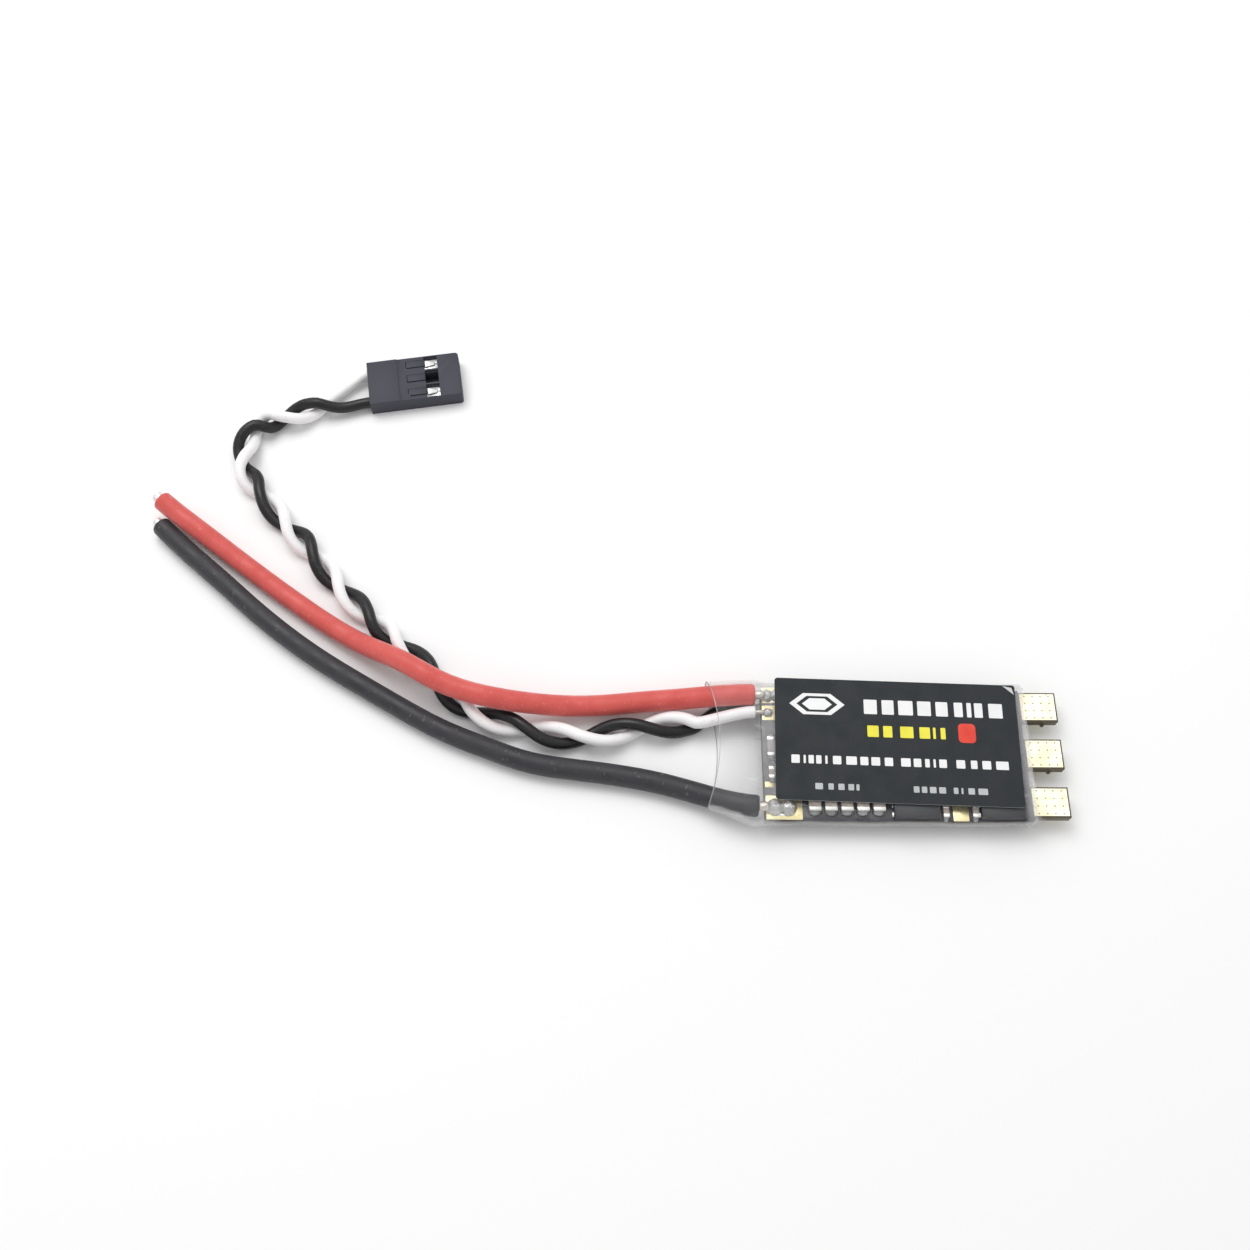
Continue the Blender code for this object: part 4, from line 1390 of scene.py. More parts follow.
@dataclass
class SolderedPart:
    """A part on the board, modelled about the middle of its foot, for one size."""

    size: Vector
    style: ChipStyle
    body_finish: Finishes = Finishes.EPOXY

    def end_capped(self, name: str) -> Piece:
        """A ceramic block with a tinned cap and a solder fillet at each end of its length.

        Args:
            name: The part's name.

        Returns:
            The part.
        """
        half = self.size / 2
        cap = min(0.5 * MM, 0.28 * self.size.y)
        body = add_block("body", (-half.x + 0.03 * MM, -half.y + 0.1 * MM, 0.06 * MM),
                         (half.x - 0.03 * MM, half.y - 0.1 * MM, self.size.z - 0.03 * MM))
        round_edges(body, 0.05 * MM, 2)
        dress(body, [self.body_finish.make()])
        pieces = [body]
        for side in (-1, 1):
            near, far = sorted((side * half.y, side * (half.y - cap)))
            end = add_block("cap", (-half.x, near, 0.02 * MM), (half.x, far, self.size.z))
            enter_edit(end)
            select_faces(end, lambda c, n, s=side: n.y * s > 0.9)
            bpy.ops.mesh.inset(thickness=0.12 * half.x)
            bpy.ops.transform.translate(value=(0, side * 0.05 * MM, 0))
            leave_edit()
            round_edges(end, 0.1 * MM, 3, 25)
            reach = 0.5 * cap + 0.34 * MM
            radii = (1.06 * half.x, reach, 0.7 * self.size.z)
            fillet = add_ball("fillet", (0, side * (half.y - 0.05 * MM), 0), radii)
            enter_edit(fillet)
            bpy.ops.mesh.select_all(action="SELECT")
            bpy.ops.mesh.bisect(plane_co=(0, 0, 0.0), plane_no=(0, 0, 1), use_fill=True, clear_inner=True)
            leave_edit()
            shade(fillet, 60)
            dress(end, [Finishes.TIN.make()])
            # the fillet's darker solder is painted shade
            dress(fillet, [Finishes.FILLET.make()])
            pieces += [end, fillet]
        return join(name, pieces)

    def leads(self, count: int, along_x: bool, lead: Vector, pitch: float) -> list[Piece]:
        """Tinned leads on two opposite sides, each with its edges rounded.

        Args:
            count: How many leads each side has.
            along_x: Whether the leads stand out along x.
            lead: A lead's length, width and height.
            pitch: How far apart the leads are.

        Returns:
            The leads.
        """
        made = []
        reach = (self.size.x if along_x else self.size.y) / 2
        for side in (-1, 1):
            for index in range(count):
                along = (index - (count - 1) / 2) * pitch
                out = side * (reach - lead.x / 2 + 0.14 * MM)
                place = (out, along) if along_x else (along, out)
                size = (lead.x, lead.y) if along_x else (lead.y, lead.x)
                piece = add_block(
                    "lead", (place[0] - size[0] / 2, place[1] - size[1] / 2, 0.0),
                    (place[0] + size[0] / 2, place[1] + size[1] / 2, lead.z))
                round_edges(piece, 0.05 * MM, 2)
                dress(piece, [Finishes.TIN.make()])
                made.append(piece)
        return made

    def moulded(self, foot: float) -> Piece:
        """An epoxy block with drafted sides and a first-pin dimple.

        Args:
            foot: How high the block's underside is.

        Returns:
            The block.
        """
        half = self.size / 2
        body = add_block("body", (-half.x, -half.y, foot), (half.x, half.y, self.size.z))
        enter_edit(body)
        select_faces(body, lambda c, n: n.z > 0.9)
        bpy.ops.transform.resize(value=(1 - 0.16 * MM / self.size.x, 1 - 0.16 * MM / self.size.y, 1))
        leave_edit()
        radius = min(0.28 * MM, 0.08 * self.size.x)
        corner = (-half.x + 2.6 * radius, half.y - 2.6 * radius, self.size.z)
        carve(body, add_ball("dimple", corner, (radius, radius, 0.06 * MM), 16))
        round_edges(body, 0.05 * MM, 2, 40)
        return dress(body, [self.body_finish.make()])

    def power(self, name: str) -> Piece:
        """A power transistor: four leads at each end of its length.

        Args:
            name: The part's name.

        Returns:
            The part.
        """
        body = self.moulded(0.05 * MM)
        leads = self.leads(4, True, Vector((0.5, 0.62, 0.26)) * MM, 1.27 * MM)
        return join(name, [body, *leads])

    def flat_pack(self, name: str) -> Piece:
        """A leadless square chip with pads on its four sides.

        Args:
            name: The part's name.

        Returns:
            The part.
        """
        body = self.moulded(0.03 * MM)
        count = int(self.size.x / (0.55 * MM)) - 1
        pad = Vector((0.3, 0.26, 0.2)) * MM
        leads = self.leads(count, True, pad, 0.5 * MM) + self.leads(count, False, pad, 0.5 * MM)
        return join(name, [body, *leads])

    def tab_pack(self, name: str) -> Piece:
        """A regulator with three leads on each side.

        Args:
            name: The part's name.

        Returns:
            The part.
        """
        body = self.moulded(0.08 * MM)
        leads = self.leads(3, False, Vector((0.45, 0.4, 0.22)) * MM, 0.95 * MM)
        return join(name, [body, *leads])

    def build(self, name: str) -> Piece:
        """Builds the part about the origin in its style.

        Args:
            name: The part's name.

        Returns:
            The part.
        """
        makers = {
            ChipStyle.POWER: self.power, ChipStyle.END_CAPPED: self.end_capped,
            ChipStyle.FLAT_PACK: self.flat_pack, ChipStyle.TAB_PACK: self.tab_pack,
        }
        return makers[self.style](name)


@dataclass
class PartSet:
    """Alike parts: modelled once, then copied onto each of their solids."""

    nodes: tuple[str, ...]
    style: ChipStyle
    slot: str
    finish: Finishes = Finishes.EPOXY
    on_top: bool = True

    def build(self) -> None:
        """Builds the set."""
        low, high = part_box(self.nodes[0])
        template = SolderedPart(high - low, self.style, self.finish).build("part_template")
        for node in self.nodes:
            low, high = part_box(node)
            middle = (low + high) / 2
            if self.on_top:
                matrix = Matrix.Translation((middle.x, middle.y, low.z))
            else:
                matrix = Matrix.Translation((middle.x, middle.y, high.z)) @ Matrix.Rotation(math.pi, 4, "X")
            twin = copy_of(template, f"{node}_body", matrix)
            finish_piece(twin, [node])
        bpy.data.objects.remove(template, do_unlink=True)


@dataclass
class SolderJoints:
    """The lumps of solder over the stripped cores, and the cores themselves."""

    lump_nodes: tuple[tuple[str, int], ...] = (
        ("positive_solder_joint", 2), ("negative_solder_joint", 2), ("signal_solder_joint", 1),
        ("signal_ground_solder_joint", 1))
    core_nodes: tuple[str, ...] = ("red_lead_core", "black_lead_core", "white_wire_core", "black_wire_core")
    voxel: float = 0.07 * MM

    def build_joint(self, node: str, lumps: int) -> Piece:
        """Melts a row of stretched balls into one lump inside the solid's box.

        Args:
            node: The solid that it stands for.
            lumps: How many balls are in the row.

        Returns:
            The joint.
        """
        low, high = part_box(node)
        under = node.startswith("signal_ground")
        size = high - low
        step = size.x / lumps
        foot = high.z if under else low.z
        balls = []
        for index in range(lumps):
            centre = (low.x + step * (index + 0.5), (low.y + high.y) / 2, foot)
            swell = 0.62 if lumps > 1 else 0.55
            balls.append(add_ball("lump", centre, (swell * step, 0.52 * size.y, 0.98 * size.z), 32))
        joint = join(f"{node}_lump", balls)
        apply_modifier(joint, "REMESH", mode="VOXEL", voxel_size=self.voxel)
        cloud = bpy.data.textures.get("solder_dents") or bpy.data.textures.new("solder_dents", "CLOUDS")
        cloud.noise_scale = 0.55 * MM
        apply_modifier(joint, "DISPLACE", texture=cloud, texture_coords="LOCAL", strength=0.34 * MM)
        apply_modifier(joint, "SMOOTH", iterations=4)
        enter_edit(joint)
        bpy.ops.mesh.select_all(action="SELECT")
        way = -1 if under else 1
        bpy.ops.mesh.bisect(plane_co=(0, 0, foot), plane_no=(0, 0, way), use_fill=True, clear_inner=True)
        leave_edit()
        shade(joint, 60)
        dress(joint, [Finishes.SOLDER.make()])
        return finish_piece(joint, [node])

    def build_core(self, node: str) -> Piece:
        """Builds a stripped core as twisted strands.

        Args:
            node: The solid that it stands for.

        Returns:
            The core.
        """
        low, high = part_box(node)
        radius = (high.z - low.z) / 2
        start = Vector((low.x - 0.3 * MM, (low.y + high.y) / 2, (low.z + high.z) / 2))
        core = strand_bundle(f"{node}_strands", start, Vector((1, 0, 0)), radius, high.x - low.x + 0.5 * MM)
        dress(core, [Finishes.STRAND.make()])
        return finish_piece(core, [node])

    def build(self) -> None:
        """Builds every joint and core."""
        for node, lumps in self.lump_nodes:
            self.build_joint(node, lumps)
        for node in self.core_nodes:
            self.build_core(node)


# ---------------------------------------------------------------- film and sticker
@dataclass
class FilmSleeve:
    """The clear film shrunk round the board, open where the leads leave."""

    wall: float = 0.2 * MM
    around: int = 96
    board_left: float = -16.25 * MM
    board_right: float = 18.75 * MM
    front: float = -9.8 * MM
    lead_front: float = -10.1 * MM
    tuck_height: float = 2.4 * MM
    tuck_depth: float = 1.3 * MM
    tuck_fade: float = 1.3 * MM
    back: float = 9.75 * MM
    mouth: float = -23.7 * MM
    end: float = 19.4 * MM
    mouth_recess: float = 1.6 * MM
    rim_width: float = 0.13 * MM
    recess_reach: float = 4.2 * MM

    def sections(self) -> list[tuple[float, ...]]:
        """Stations along the sleeve: x, front, back, low, high and corner, in metres.

        Returns:
            The stations, from the motor end to the mouth.
        """
        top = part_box("label")[0].z - 0.02 * MM
        hump = 5.49 * MM
        pad_top = 3.07 * MM
        front, back, left, right = self.front, self.back, self.board_left, self.board_right
        lead_front = self.lead_front
        rows = (
            (self.end, front + 0.55 * MM, back - 0.4 * MM, 0.95 * MM, pad_top + 0.28 * MM, 0.5 * MM),
            (right + 0.1 * MM, front + 0.1 * MM, back, 0.35 * MM, top - 0.45 * MM, 0.9 * MM),
            (right - 0.6 * MM, front, back, 0.0, top, 1.1 * MM),
            (12.0 * MM, front, back, 0.0, top, 1.1 * MM),
            (6.0 * MM, front, back, 0.0, top, 1.1 * MM),
            (0.0, front, back, 0.0, top, 1.1 * MM),
            (-7.0 * MM, front, back, 0.0, top, 1.1 * MM),
            (left + 1.4 * MM, front, back, 0.0, top, 1.1 * MM),
            (left + 0.5 * MM, front, back, 0.0, top + 0.3 * MM, 1.2 * MM),
            (left - 0.4 * MM, front, back, 0.0, hump - 0.15 * MM, 1.3 * MM),
            (left - 1.3 * MM, lead_front + 0.1 * MM, back + 0.1 * MM, 0.0, hump + 0.1 * MM, 1.6 * MM),
            (left - 3.4 * MM, lead_front + 0.95 * MM, back + 0.1 * MM, 0.0, hump + 0.3 * MM, 2.0 * MM),
            (left - 5.6 * MM, lead_front + 1.8 * MM, back, 0.0, hump + 0.3 * MM, 2.2 * MM),
            (self.mouth, lead_front + 2.4 * MM, back, 0.0, hump + 0.2 * MM, 2.2 * MM),
        )
        table = np.array(rows)[::-1]
        stations = np.concatenate([
            np.linspace(first, last, max(2, int((last - first) / (0.7 * MM))), endpoint=False)
            for first, last in zip(table[:-1, 0], table[1:, 0])] + [table[-1:, 0]])[::-1]
        rims = (self.mouth + self.rim_width, self.end - self.rim_width)
        stations = np.sort(np.append(stations, rims))[::-1]
        columns = [np.interp(stations, table[:, 0], table[:, column]) for column in range(1, 6)]
        return list(zip(stations, *columns))

    def ring(self, section: Sequence[float]) -> list[tuple[float, float, float]]:
        """One ring of the film.

        Args:
            section: One of the stations.

        Returns:
            The ring's points.
        """
        x, front, back, low, high, corner = section
        middle_y, middle_z = (front + back) / 2, (low + high) / 2
        outline = even_ring(rounded_outline(back - front, high - low, corner, 8), self.around)
        ring = []
        for y, z in outline:
            across = 2 * y / (back - front)
            place = middle_y + y
            shift = 0.0
            if x < self.mouth + self.recess_reach:
                fade = 1 - (x - self.mouth) / self.recess_reach
                shift = self.mouth_recess * max(0.0, 1 - across**2) * fade
            if abs(x - self.end) < 1e-9:
                shift = 0.14 * MM * math.sin(place / (1.3 * MM)) + 0.3 * max(0.0, -place - 6.2 * MM)
            side = max(0.0, -across - 0.75) * 4
            ripple = 0.05 * MM * math.sin(x / (2.1 * MM)) + 0.03 * MM * math.sin(x / (0.9 * MM) + 1.0)
            over_leads = max(0.0, -x - 17 * MM)
            sag = 0.06 * MM * math.sin(x / (5.2 * MM) + place / (3.1 * MM)) * over_leads / (6 * MM)
            lift = sag if z > 0 else 0.0
            above_foot = z + (high - low) / 2
            turned_in = self.tuck_depth * max(0.0, 1 - above_foot / self.tuck_height) ** 2
            over_board = min(1.0, max(0.0, (x - self.board_left) / self.tuck_fade + 1.0))
            inward = -across * turned_in * over_board
            ring.append((x + shift, place + side * ripple + inward, middle_z + z + lift))
        return ring

    def on_rim(self, place: Vector) -> bool:
        """Whether a place on the film belongs to the cut edge of its mouth.

        Args:
            place: The place.

        Returns:
            True on the cut edge.
        """
        front, back = self.lead_front + 2.4 * MM, self.back
        across = 2 * (place.y - (front + back) / 2) / (back - front)
        edge = self.mouth + self.mouth_recess * max(0.0, 1 - across**2)
        return place.x < edge + 0.75 * self.rim_width

    def build(self) -> Piece:
        """Builds the sleeve.

        Returns:
            The sleeve.
        """
        rings = [self.ring(section) for section in self.sections()]
        sleeve = loft("film_sleeve", rings, capped=False)
        apply_modifier(sleeve, "SOLIDIFY", thickness=self.wall, offset=-1.0, use_even_offset=True)
        shade(sleeve, 50)
        dress(sleeve, [Finishes.FILM.make(), Finishes.FILM_EDGE.make()])
        for face in sleeve.data.polygons:
            face.material_index = int(self.on_rim(face.center))
        return finish_piece(sleeve, ["heat_shrink_sleeve"])


@dataclass
class Sticker:
    """The charcoal sticker and its plain printed shapes."""

    length: float = 32.3 * MM
    width: float = 17.05 * MM
    thickness: float = 0.1 * MM
    corner: float = 0.45 * MM
    centre: tuple[float, float] = (1.48 * MM, 1.09 * MM)
    turn: float = math.radians(-1.75)
    ink: float = 0.012 * MM
    curl: float = 0.16 * MM

    def matrix(self, z: float) -> Matrix:
        """Places the sticker's own axes in the object's frame."""
        return Matrix.Translation((*self.centre, z)) @ Matrix.Rotation(self.turn, 4, "Z")

    def build_sheet(self) -> Piece:
        """Builds the sheet from a grid, with round corners and two lifted ones.

        Returns:
            The sheet.
        """
        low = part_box("label")[0]
        deselect_all()
        bpy.ops.mesh.primitive_grid_add(x_subdivisions=64, y_subdivisions=34, size=1.0)
        sheet = bpy.context.object
        sheet.name = "sticker"
        sheet.scale = (self.length, self.width, 1.0)
        settle(sheet)
        half_x, half_y = self.length / 2, self.width / 2
        for vert in sheet.data.vertices:
            for side in (-1, 1):
                away = math.hypot(half_x - vert.co.x, half_y - side * vert.co.y)
                vert.co.z += self.curl * max(0.0, 1 - away / (1.7 * MM)) ** 2
        enter_edit(sheet, "VERT")
        mesh = bmesh.from_edit_mesh(sheet.data)
        for vert in mesh.verts:
            vert.select_set(abs(abs(vert.co.x) - half_x) < 1e-6 and abs(abs(vert.co.y) - half_y) < 1e-6)
        bmesh.update_edit_mesh(sheet.data)
        bpy.ops.mesh.bevel(offset=self.corner, segments=5, affect="VERTICES")
        leave_edit()
        apply_modifier(sheet, "SOLIDIFY", thickness=self.thickness, offset=-1.0, material_offset_rim=1)
        dress(sheet, [Finishes.LABEL.make(), Finishes.LABEL_EDGE.make()])
        sheet.data.transform(self.matrix(low.z + self.thickness))
        for face in sheet.data.polygons:
            face.material_index = 0 if face.normal.z > 0.4 else 1
        shade(sheet, 50)
        return finish_piece(sheet, ["label"])

    def mark(self, x: float, y: float, width: float, height: float, corner: float = 0.12) -> Piece:
        """One printed block: a flat round-cornered plate, in the sticker's own axes and mm.

        Args:
            x: Its middle along the sticker.
            y: Its middle across it.
            width: Its width.
            height: Its height.
            corner: Its corners' radius.

        Returns:
            The plate.
        """
        deselect_all()
        bpy.ops.mesh.primitive_plane_add(size=1.0, location=(x * MM, y * MM, 0))
        plate = bpy.context.object
        plate.scale = (width * MM, height * MM, 1)
        settle(plate)
        enter_edit(plate, "VERT")
        bpy.ops.mesh.select_all(action="SELECT")
        bpy.ops.mesh.bevel(offset=min(corner, 0.45 * min(width, height)) * MM, segments=4, affect="VERTICES")
        bpy.ops.mesh.select_mode(type="FACE")
        bpy.ops.mesh.select_all(action="SELECT")
        bpy.ops.mesh.extrude_region_move(TRANSFORM_OT_translate={"value": (0, 0, self.ink)})
        leave_facing_out()
        return plate

    def row(self, y: float, height: float, spans: Sequence[tuple[float, float]]) -> list[Piece]:
        """A row of printed blocks, each from one place to another along the sticker, in mm."""
        return [self.mark((first + last) / 2, y, last - first, height) for first, last in spans]

    def emblem(self) -> list[Piece]:
        """A plain emblem: a wide hexagon with a hollow ring in it.

        Returns:
            The emblem's plates.
        """
        parts = []
        for radius, depth in ((3.7, self.ink), (2.75, MM), (2.0, self.ink)):
            deselect_all()
            bpy.ops.mesh.primitive_cylinder_add(
                vertices=6, radius=radius * MM, depth=depth, rotation=(0, 0, math.pi / 6),
                location=(-10.5 * MM, 4.9 * MM, self.ink / 2))
            settle(bpy.context.object)
            bpy.context.object.data.transform(
                Matrix.Translation((0, 4.9 * MM, 0)) @ Matrix.Diagonal((1.0, 0.47, 1.0, 1.0))
                @ Matrix.Translation((0, -4.9 * MM, 0)))
            parts.append(bpy.context.object)
        outer, hollow, middle = parts
        return [carve(outer, hollow), middle]

    def pale_corner_patch(self) -> Piece:
        """A pale triangle lying over the sheet's far right corner, its inner point a little raised.

        Returns:
            The triangle.
        """
        deselect_all()
        bpy.ops.mesh.primitive_circle_add(vertices=3, radius=MM, fill_type="NGON")
        corner_patch = bpy.context.object
        corner_x, corner_y = self.length / 2 - 0.1 * MM, self.width / 2 - 0.1 * MM
        lift = 0.02 * MM
        places = (
            (corner_x - 1.5 * MM, corner_y - 0.05 * MM, lift),
            (corner_x - 0.05 * MM, corner_y - 1.25 * MM, lift),
            (corner_x - 0.35 * MM, corner_y - 0.3 * MM, 0.13 * MM))
        for vert, place in zip(corner_patch.data.vertices, places):
            vert.co = place
        enter_edit(corner_patch)
        bpy.ops.mesh.select_all(action="SELECT")
        bpy.ops.mesh.extrude_region_move(TRANSFORM_OT_translate={"value": (0, 0, 0.03 * MM)})
        leave_facing_out()
        return corner_patch

    def print_shapes(self, name: str, marks: list[Piece], finish: Finishes, z: float) -> None:
        """Joins printed blocks of one colour and lays them on the sticker.

        Args:
            name: The print's name.
            marks: The blocks.
            finish: Their ink.
            z: How high they lie.
        """
        piece = join(name, marks)
        piece.data.transform(self.matrix(z))
        dress(piece, [finish.make()])
        finish_piece(piece)

    def build(self) -> None:
        """Builds the sheet and its print."""
        self.build_sheet()
        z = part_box("label")[1].z + 0.002 * MM
        headline = self.row(4.75, 2.05, (
            (-4.25, -2.5), (-1.85, -0.25), (0.35, 2.3), (2.9, 4.7), (5.35, 6.95), (7.8, 8.95),
            (9.5, 10.1), (10.5, 11.6), (12.4, 14.25)))
        headline += self.row(-2.9, 1.15, (
            (-14.05, -12.95), (-12.45, -12.15), (-11.8, -11.1), (-10.8, -10.1), (-9.6, -9.3),
            (-8.6, -7.5), (-6.85, -5.45), (-5.0, -3.95), (-3.55, -2.4), (-1.8, -0.7), (0.35, 1.6),
            (2.0, 3.0), (3.5, 4.1), (4.6, 4.9), (5.35, 6.35), (7.6, 8.75), (9.5, 10.35), (11.0, 12.15),
            (12.8, 14.45)))
        self.print_shapes("print_white", self.emblem() + headline, Finishes.INK_WHITE, z)
        self.print_shapes("pale_corner_patch", [self.pale_corner_patch()], Finishes.LABEL_EDGE, z)
        small = self.row(-6.55, 0.85, (
            (-11.0, -10.0), (-9.3, -8.6), (-8.0, -7.2), (-6.7, -5.95), (-5.65, -5.25), (1.8, 2.55),
            (2.85, 3.55), (3.9, 4.75), (5.1, 6.0), (7.0, 7.6), (8.0, 8.25), (8.9, 9.75), (10.2, 11.45)))
        self.print_shapes("print_grey", small, Finishes.INK_GREY, z)
        yellow = self.row(1.3, 1.6, (
            (-3.9, -2.4), (-1.8, -0.6), (0.45, 2.2), (3.0, 4.4), (4.8, 5.15), (5.8, 6.45)))
        self.print_shapes("print_yellow", yellow, Finishes.INK_YELLOW, z)
        self.print_shapes("print_red", [self.mark(9.3, 1.45, 2.3, 2.7, 0.55)], Finishes.INK_RED, z)


# ---------------------------------------------------------------- plug
@dataclass
class Plug:
    """The three-way plug: its moulded housing, two crimped terminals and three tongues."""

    length: float = PLUG_LENGTH
    pitch: float = PLUG_PITCH
    height: float = PLUG_HEIGHT
    step: float = 0.15 * MM
    step_x: float = -2.4 * MM
    cavity: float = 1.9 * MM
    window_start: float = 1.7 * MM
    window_length: float = 2.0 * MM
    tongue_root: float = -1.05 * MM
    tongue_width: float = 1.1 * MM
    slit: float = 0.12 * MM
    root_gap: float = 0.07 * MM
    socket: float = 1.2 * MM
    socket_depth: float = 0.9 * MM

    def pole(self, index: int) -> float:
        """Middle of a way across the housing; index 0 is the rearmost."""
        return (1 - index) * self.pitch

    def cut_way(self, housing: Piece, index: int) -> None:
        """Cuts one way's cavity, socket, slot and window.

        Args:
            housing: The housing.
            index: Which way, 0 being the rearmost.
        """
        half, y, wide = self.length / 2, self.pole(index), self.cavity / 2
        floor = (self.height - self.cavity) / 2
        top = floor + self.cavity
        slot = self.tongue_width / 2 + self.slit
        root = self.tongue_root - self.root_gap
        square = self.socket / 2
        boxes = (
            ((-half - MM, y - wide, floor), (half - self.socket_depth, y + wide, top)),
            ((half - 2 * self.socket_depth, y - square, self.height / 2 - square),
             (half + MM, y + square, self.height / 2 + square)),
            ((root, y - slot, top - 0.1 * MM),
             (self.window_start + 0.1 * MM, y + slot, self.height + MM)),
            ((self.window_start, y - wide - 0.18 * MM, top - 0.1 * MM),
             (self.window_start + self.window_length, y + wide + 0.18 * MM, self.height + MM)),
        )
        for low, high in boxes:
            carve(housing, add_block("way_cutter", low, high))

    def build_housing(self) -> Piece:
        """Moulds the housing from a block with a raised rear.

        Returns:
            The housing.
        """
        half, side = self.length / 2, 1.5 * self.pitch
        housing = add_block("housing", (-half, -side, 0), (half, side, self.height))
        enter_edit(housing)
        bpy.ops.mesh.select_all(action="SELECT")
        bpy.ops.mesh.bisect(plane_co=(self.step_x, 0, 0), plane_no=(1, 0, 0))
        bpy.ops.mesh.select_all(action="DESELECT")
        select_faces(housing, lambda c, n: n.z > 0.9 and c.x < self.step_x)
        bpy.ops.mesh.extrude_region_move(TRANSFORM_OT_translate={"value": (0, 0, self.step)})
        bpy.ops.mesh.select_mode(type="EDGE")
        bpy.ops.mesh.select_all(action="DESELECT")
        select_edges(housing, lambda c, d: abs(d.z) > 0.9 and c.x > half - 0.01 * MM)
        bpy.ops.mesh.bevel(offset=0.5 * MM, segments=5)
        leave_edit()
        for index in range(3):
            self.cut_way(housing, index)
        for index in (0, 1):
            groove_y = (self.pole(index) + self.pole(index + 1)) / 2
            place = (-half / 2 - 2.2 * MM, groove_y, -0.02 * MM)
            carve(housing, add_rod("groove", place, 0.16 * MM, 5.0 * MM, "X", 12))
        round_edges(housing, 0.07 * MM, 2, 40)
        housing.data.transform(PLUG_MATRIX)
        dress(housing, [Finishes.PLUG.make()])
        return finish_piece(housing, ["plug_housing"])

    def build_terminal(self) -> Piece:
        """Builds one crimp terminal about its own way: box, seam, lance and crimp wings.

        Returns:
            The terminal.
        """
        side, back, front = 1.55 * MM, -3.1 * MM, self.length / 2 - self.socket_depth - 0.02 * MM
        low = (self.height - side) / 2
        box = add_block("terminal", (-0.6 * MM, -side / 2, low), (front, side / 2, low + side))
        bore_top = low + 1.22 * MM
        bore = add_block("bore", (0.6 * MM, -0.45 * MM, low + 0.32 * MM), (front + MM, 0.45 * MM, bore_top))
        carve(box, bore)
        seam_foot, seam_top = low + side - 0.25 * MM, low + side + MM
        carve(box, add_block("seam", (-MM, -0.05 * MM, seam_foot), (front + MM, 0.05 * MM, seam_top)))
        lance_low = (self.window_start + 0.1 * MM, -0.62 * MM, low + side - 0.1 * MM)
        lance_high = (self.window_start + 1.6 * MM, 0.62 * MM, self.height - 0.16 * MM)
        lance = add_block("lance", lance_low, lance_high)
        enter_edit(lance)
        select_faces(lance, lambda c, n: n.x > 0.9)
        bpy.ops.transform.resize(value=(1, 0.55, 0.45))
        leave_edit()
        round_edges(lance, 0.22 * MM, 4)
        carve(box, lance, "UNION")
        middle = self.height / 2
        barrel = add_rod("barrel", ((back - 0.6 * MM) / 2, 0, middle), 0.7 * MM, -back - 0.5 * MM, "X", 28)
        carve(barrel, add_rod("barrel_bore", (back / 2 - 0.4 * MM, 0, middle), 0.5 * MM, 4 * MM, "X", 28))
        slit = add_block("slit", (back - MM, -0.06 * MM, middle), (0, 0.06 * MM, self.height))
        carve(barrel, slit)
        terminal = join("terminal_template", [box, barrel])
        round_edges(terminal, 0.05 * MM, 2, 40)
        return dress(terminal, [Finishes.TERMINAL.make()])

    def build(self) -> list[Piece | str]:
        """Builds the plug.

        Returns:
            Everything that sits on the wires' far ends.
        """
        on_end: list[Piece | str] = [self.build_housing()]
        template = self.build_terminal()
        for use, index in (("signal", 0), ("ground", 2)):
            place = PLUG_MATRIX @ Matrix.Translation((0, self.pole(index), 0))
            terminal = copy_of(template, f"{use}_pin_socket", place)
            on_end.append(finish_piece(terminal, [f"{use}_terminal"]))
        bpy.data.objects.remove(template, do_unlink=True)
        return on_end + self.build_tongues()

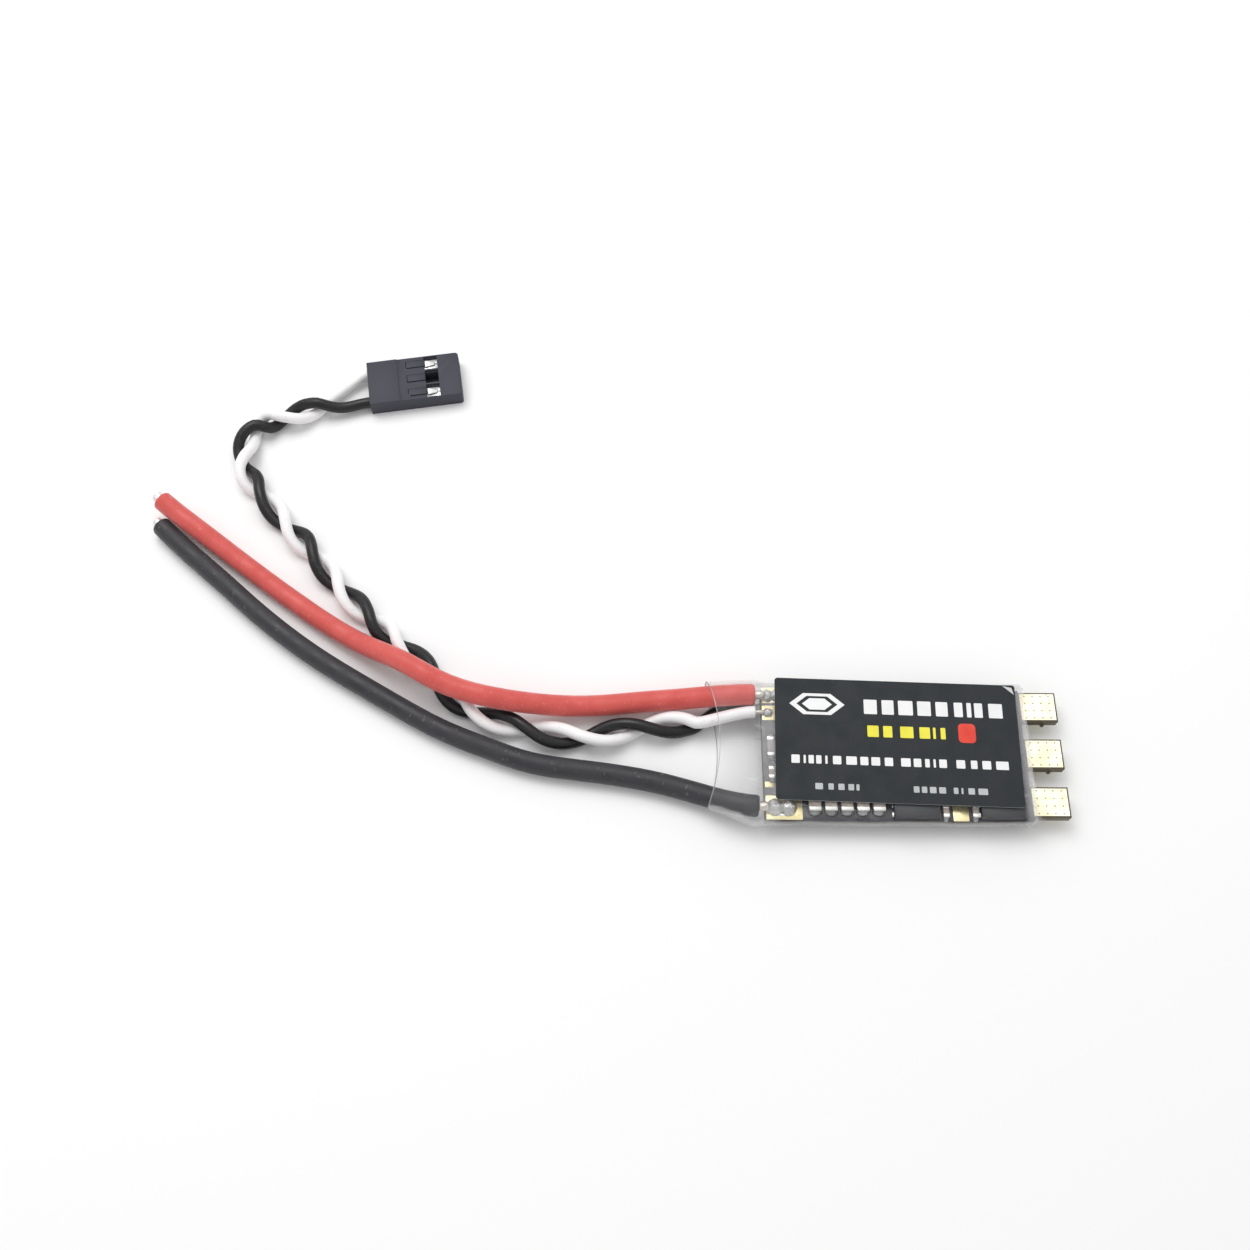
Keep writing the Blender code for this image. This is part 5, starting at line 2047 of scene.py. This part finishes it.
    def build_tongues(self) -> list[Piece]:
        """Builds the three latch tongues, each with a chamfered free end.

        Returns:
            The tongues.
        """
        thickness, half = 0.36 * MM, self.tongue_width / 2
        template = add_block(
            "tongue_template", (self.tongue_root, -half + 0.04 * MM, self.height - thickness),
            (self.window_start, half + 0.09 * MM, self.height))
        enter_edit(template)
        select_faces(template, lambda c, n: n.x > 0.9)
        bpy.ops.mesh.bevel(offset=0.09 * MM, segments=2)
        leave_edit()
        round_edges(template, 0.03 * MM, 2, 40)
        dress(template, [Finishes.PLUG.make()])
        made = []
        for index in range(3):
            place = PLUG_MATRIX @ Matrix.Translation((0, self.pole(index), 0))
            tongue = copy_of(template, f"tongue_{index + 1}_arm", place)
            node = f"latch_tongue_{index + 1}"
            made.append(finish_piece(tongue, [node], f"tongue_{index + 1}"))
        bpy.data.objects.remove(template, do_unlink=True)
        return made


def main() -> None:
    """Builds the whole visual model, piece by piece."""
    logging.basicConfig(level=logging.INFO, format="%(name)s: %(message)s")
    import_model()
    studio = Studio()
    studio.add_camera()
    PowerLead("red", RED_ROUTE, Finishes.RED, (-23.7, 7.75, 3.2), 0.097).build()
    PowerLead("black", BLACK_ROUTE, Finishes.BLACK, (-23.7, -5.85, 2.1), 0.098).build()
    pair = TwistedPair()
    white, black = pair.build()
    Plug().build()
    Board().build()
    mosfets = tuple(f"mosfet_{letter}_{side}_side" for letter in "abc" for side in ("high", "low"))
    bus_capacitors = tuple(f"bus_capacitor_{number}" for number in range(1, 6))
    bootstrap_capacitors = tuple(f"bootstrap_capacitor_{side}" for side in ("left", "right"))
    gate_drivers = tuple(f"gate_driver_{letter}" for letter in "abc")
    capped, ceramic = ChipStyle.END_CAPPED, "chip_ceramic"
    sets = (
        PartSet(mosfets, ChipStyle.POWER, "chip_black"),
        PartSet(bus_capacitors, capped, ceramic, Finishes.CERAMIC),
        PartSet(bootstrap_capacitors, capped, ceramic, Finishes.CERAMIC),
        PartSet(("input_capacitor",), capped, ceramic, Finishes.CERAMIC),
        PartSet(("shunt_resistor",), capped, ceramic, Finishes.RESISTOR),
        PartSet(("microcontroller",), ChipStyle.FLAT_PACK, "chip_black", on_top=False),
        PartSet(gate_drivers, ChipStyle.FLAT_PACK, "chip_black", on_top=False),
        PartSet(("voltage_regulator",), ChipStyle.TAB_PACK, "chip_black", on_top=False),
    )
    for part_set in sets:
        part_set.build()
    SolderJoints().build()
    FilmSleeve().build()
    Sticker().build()
    studio.build()


if __name__ == "__main__":
    main()
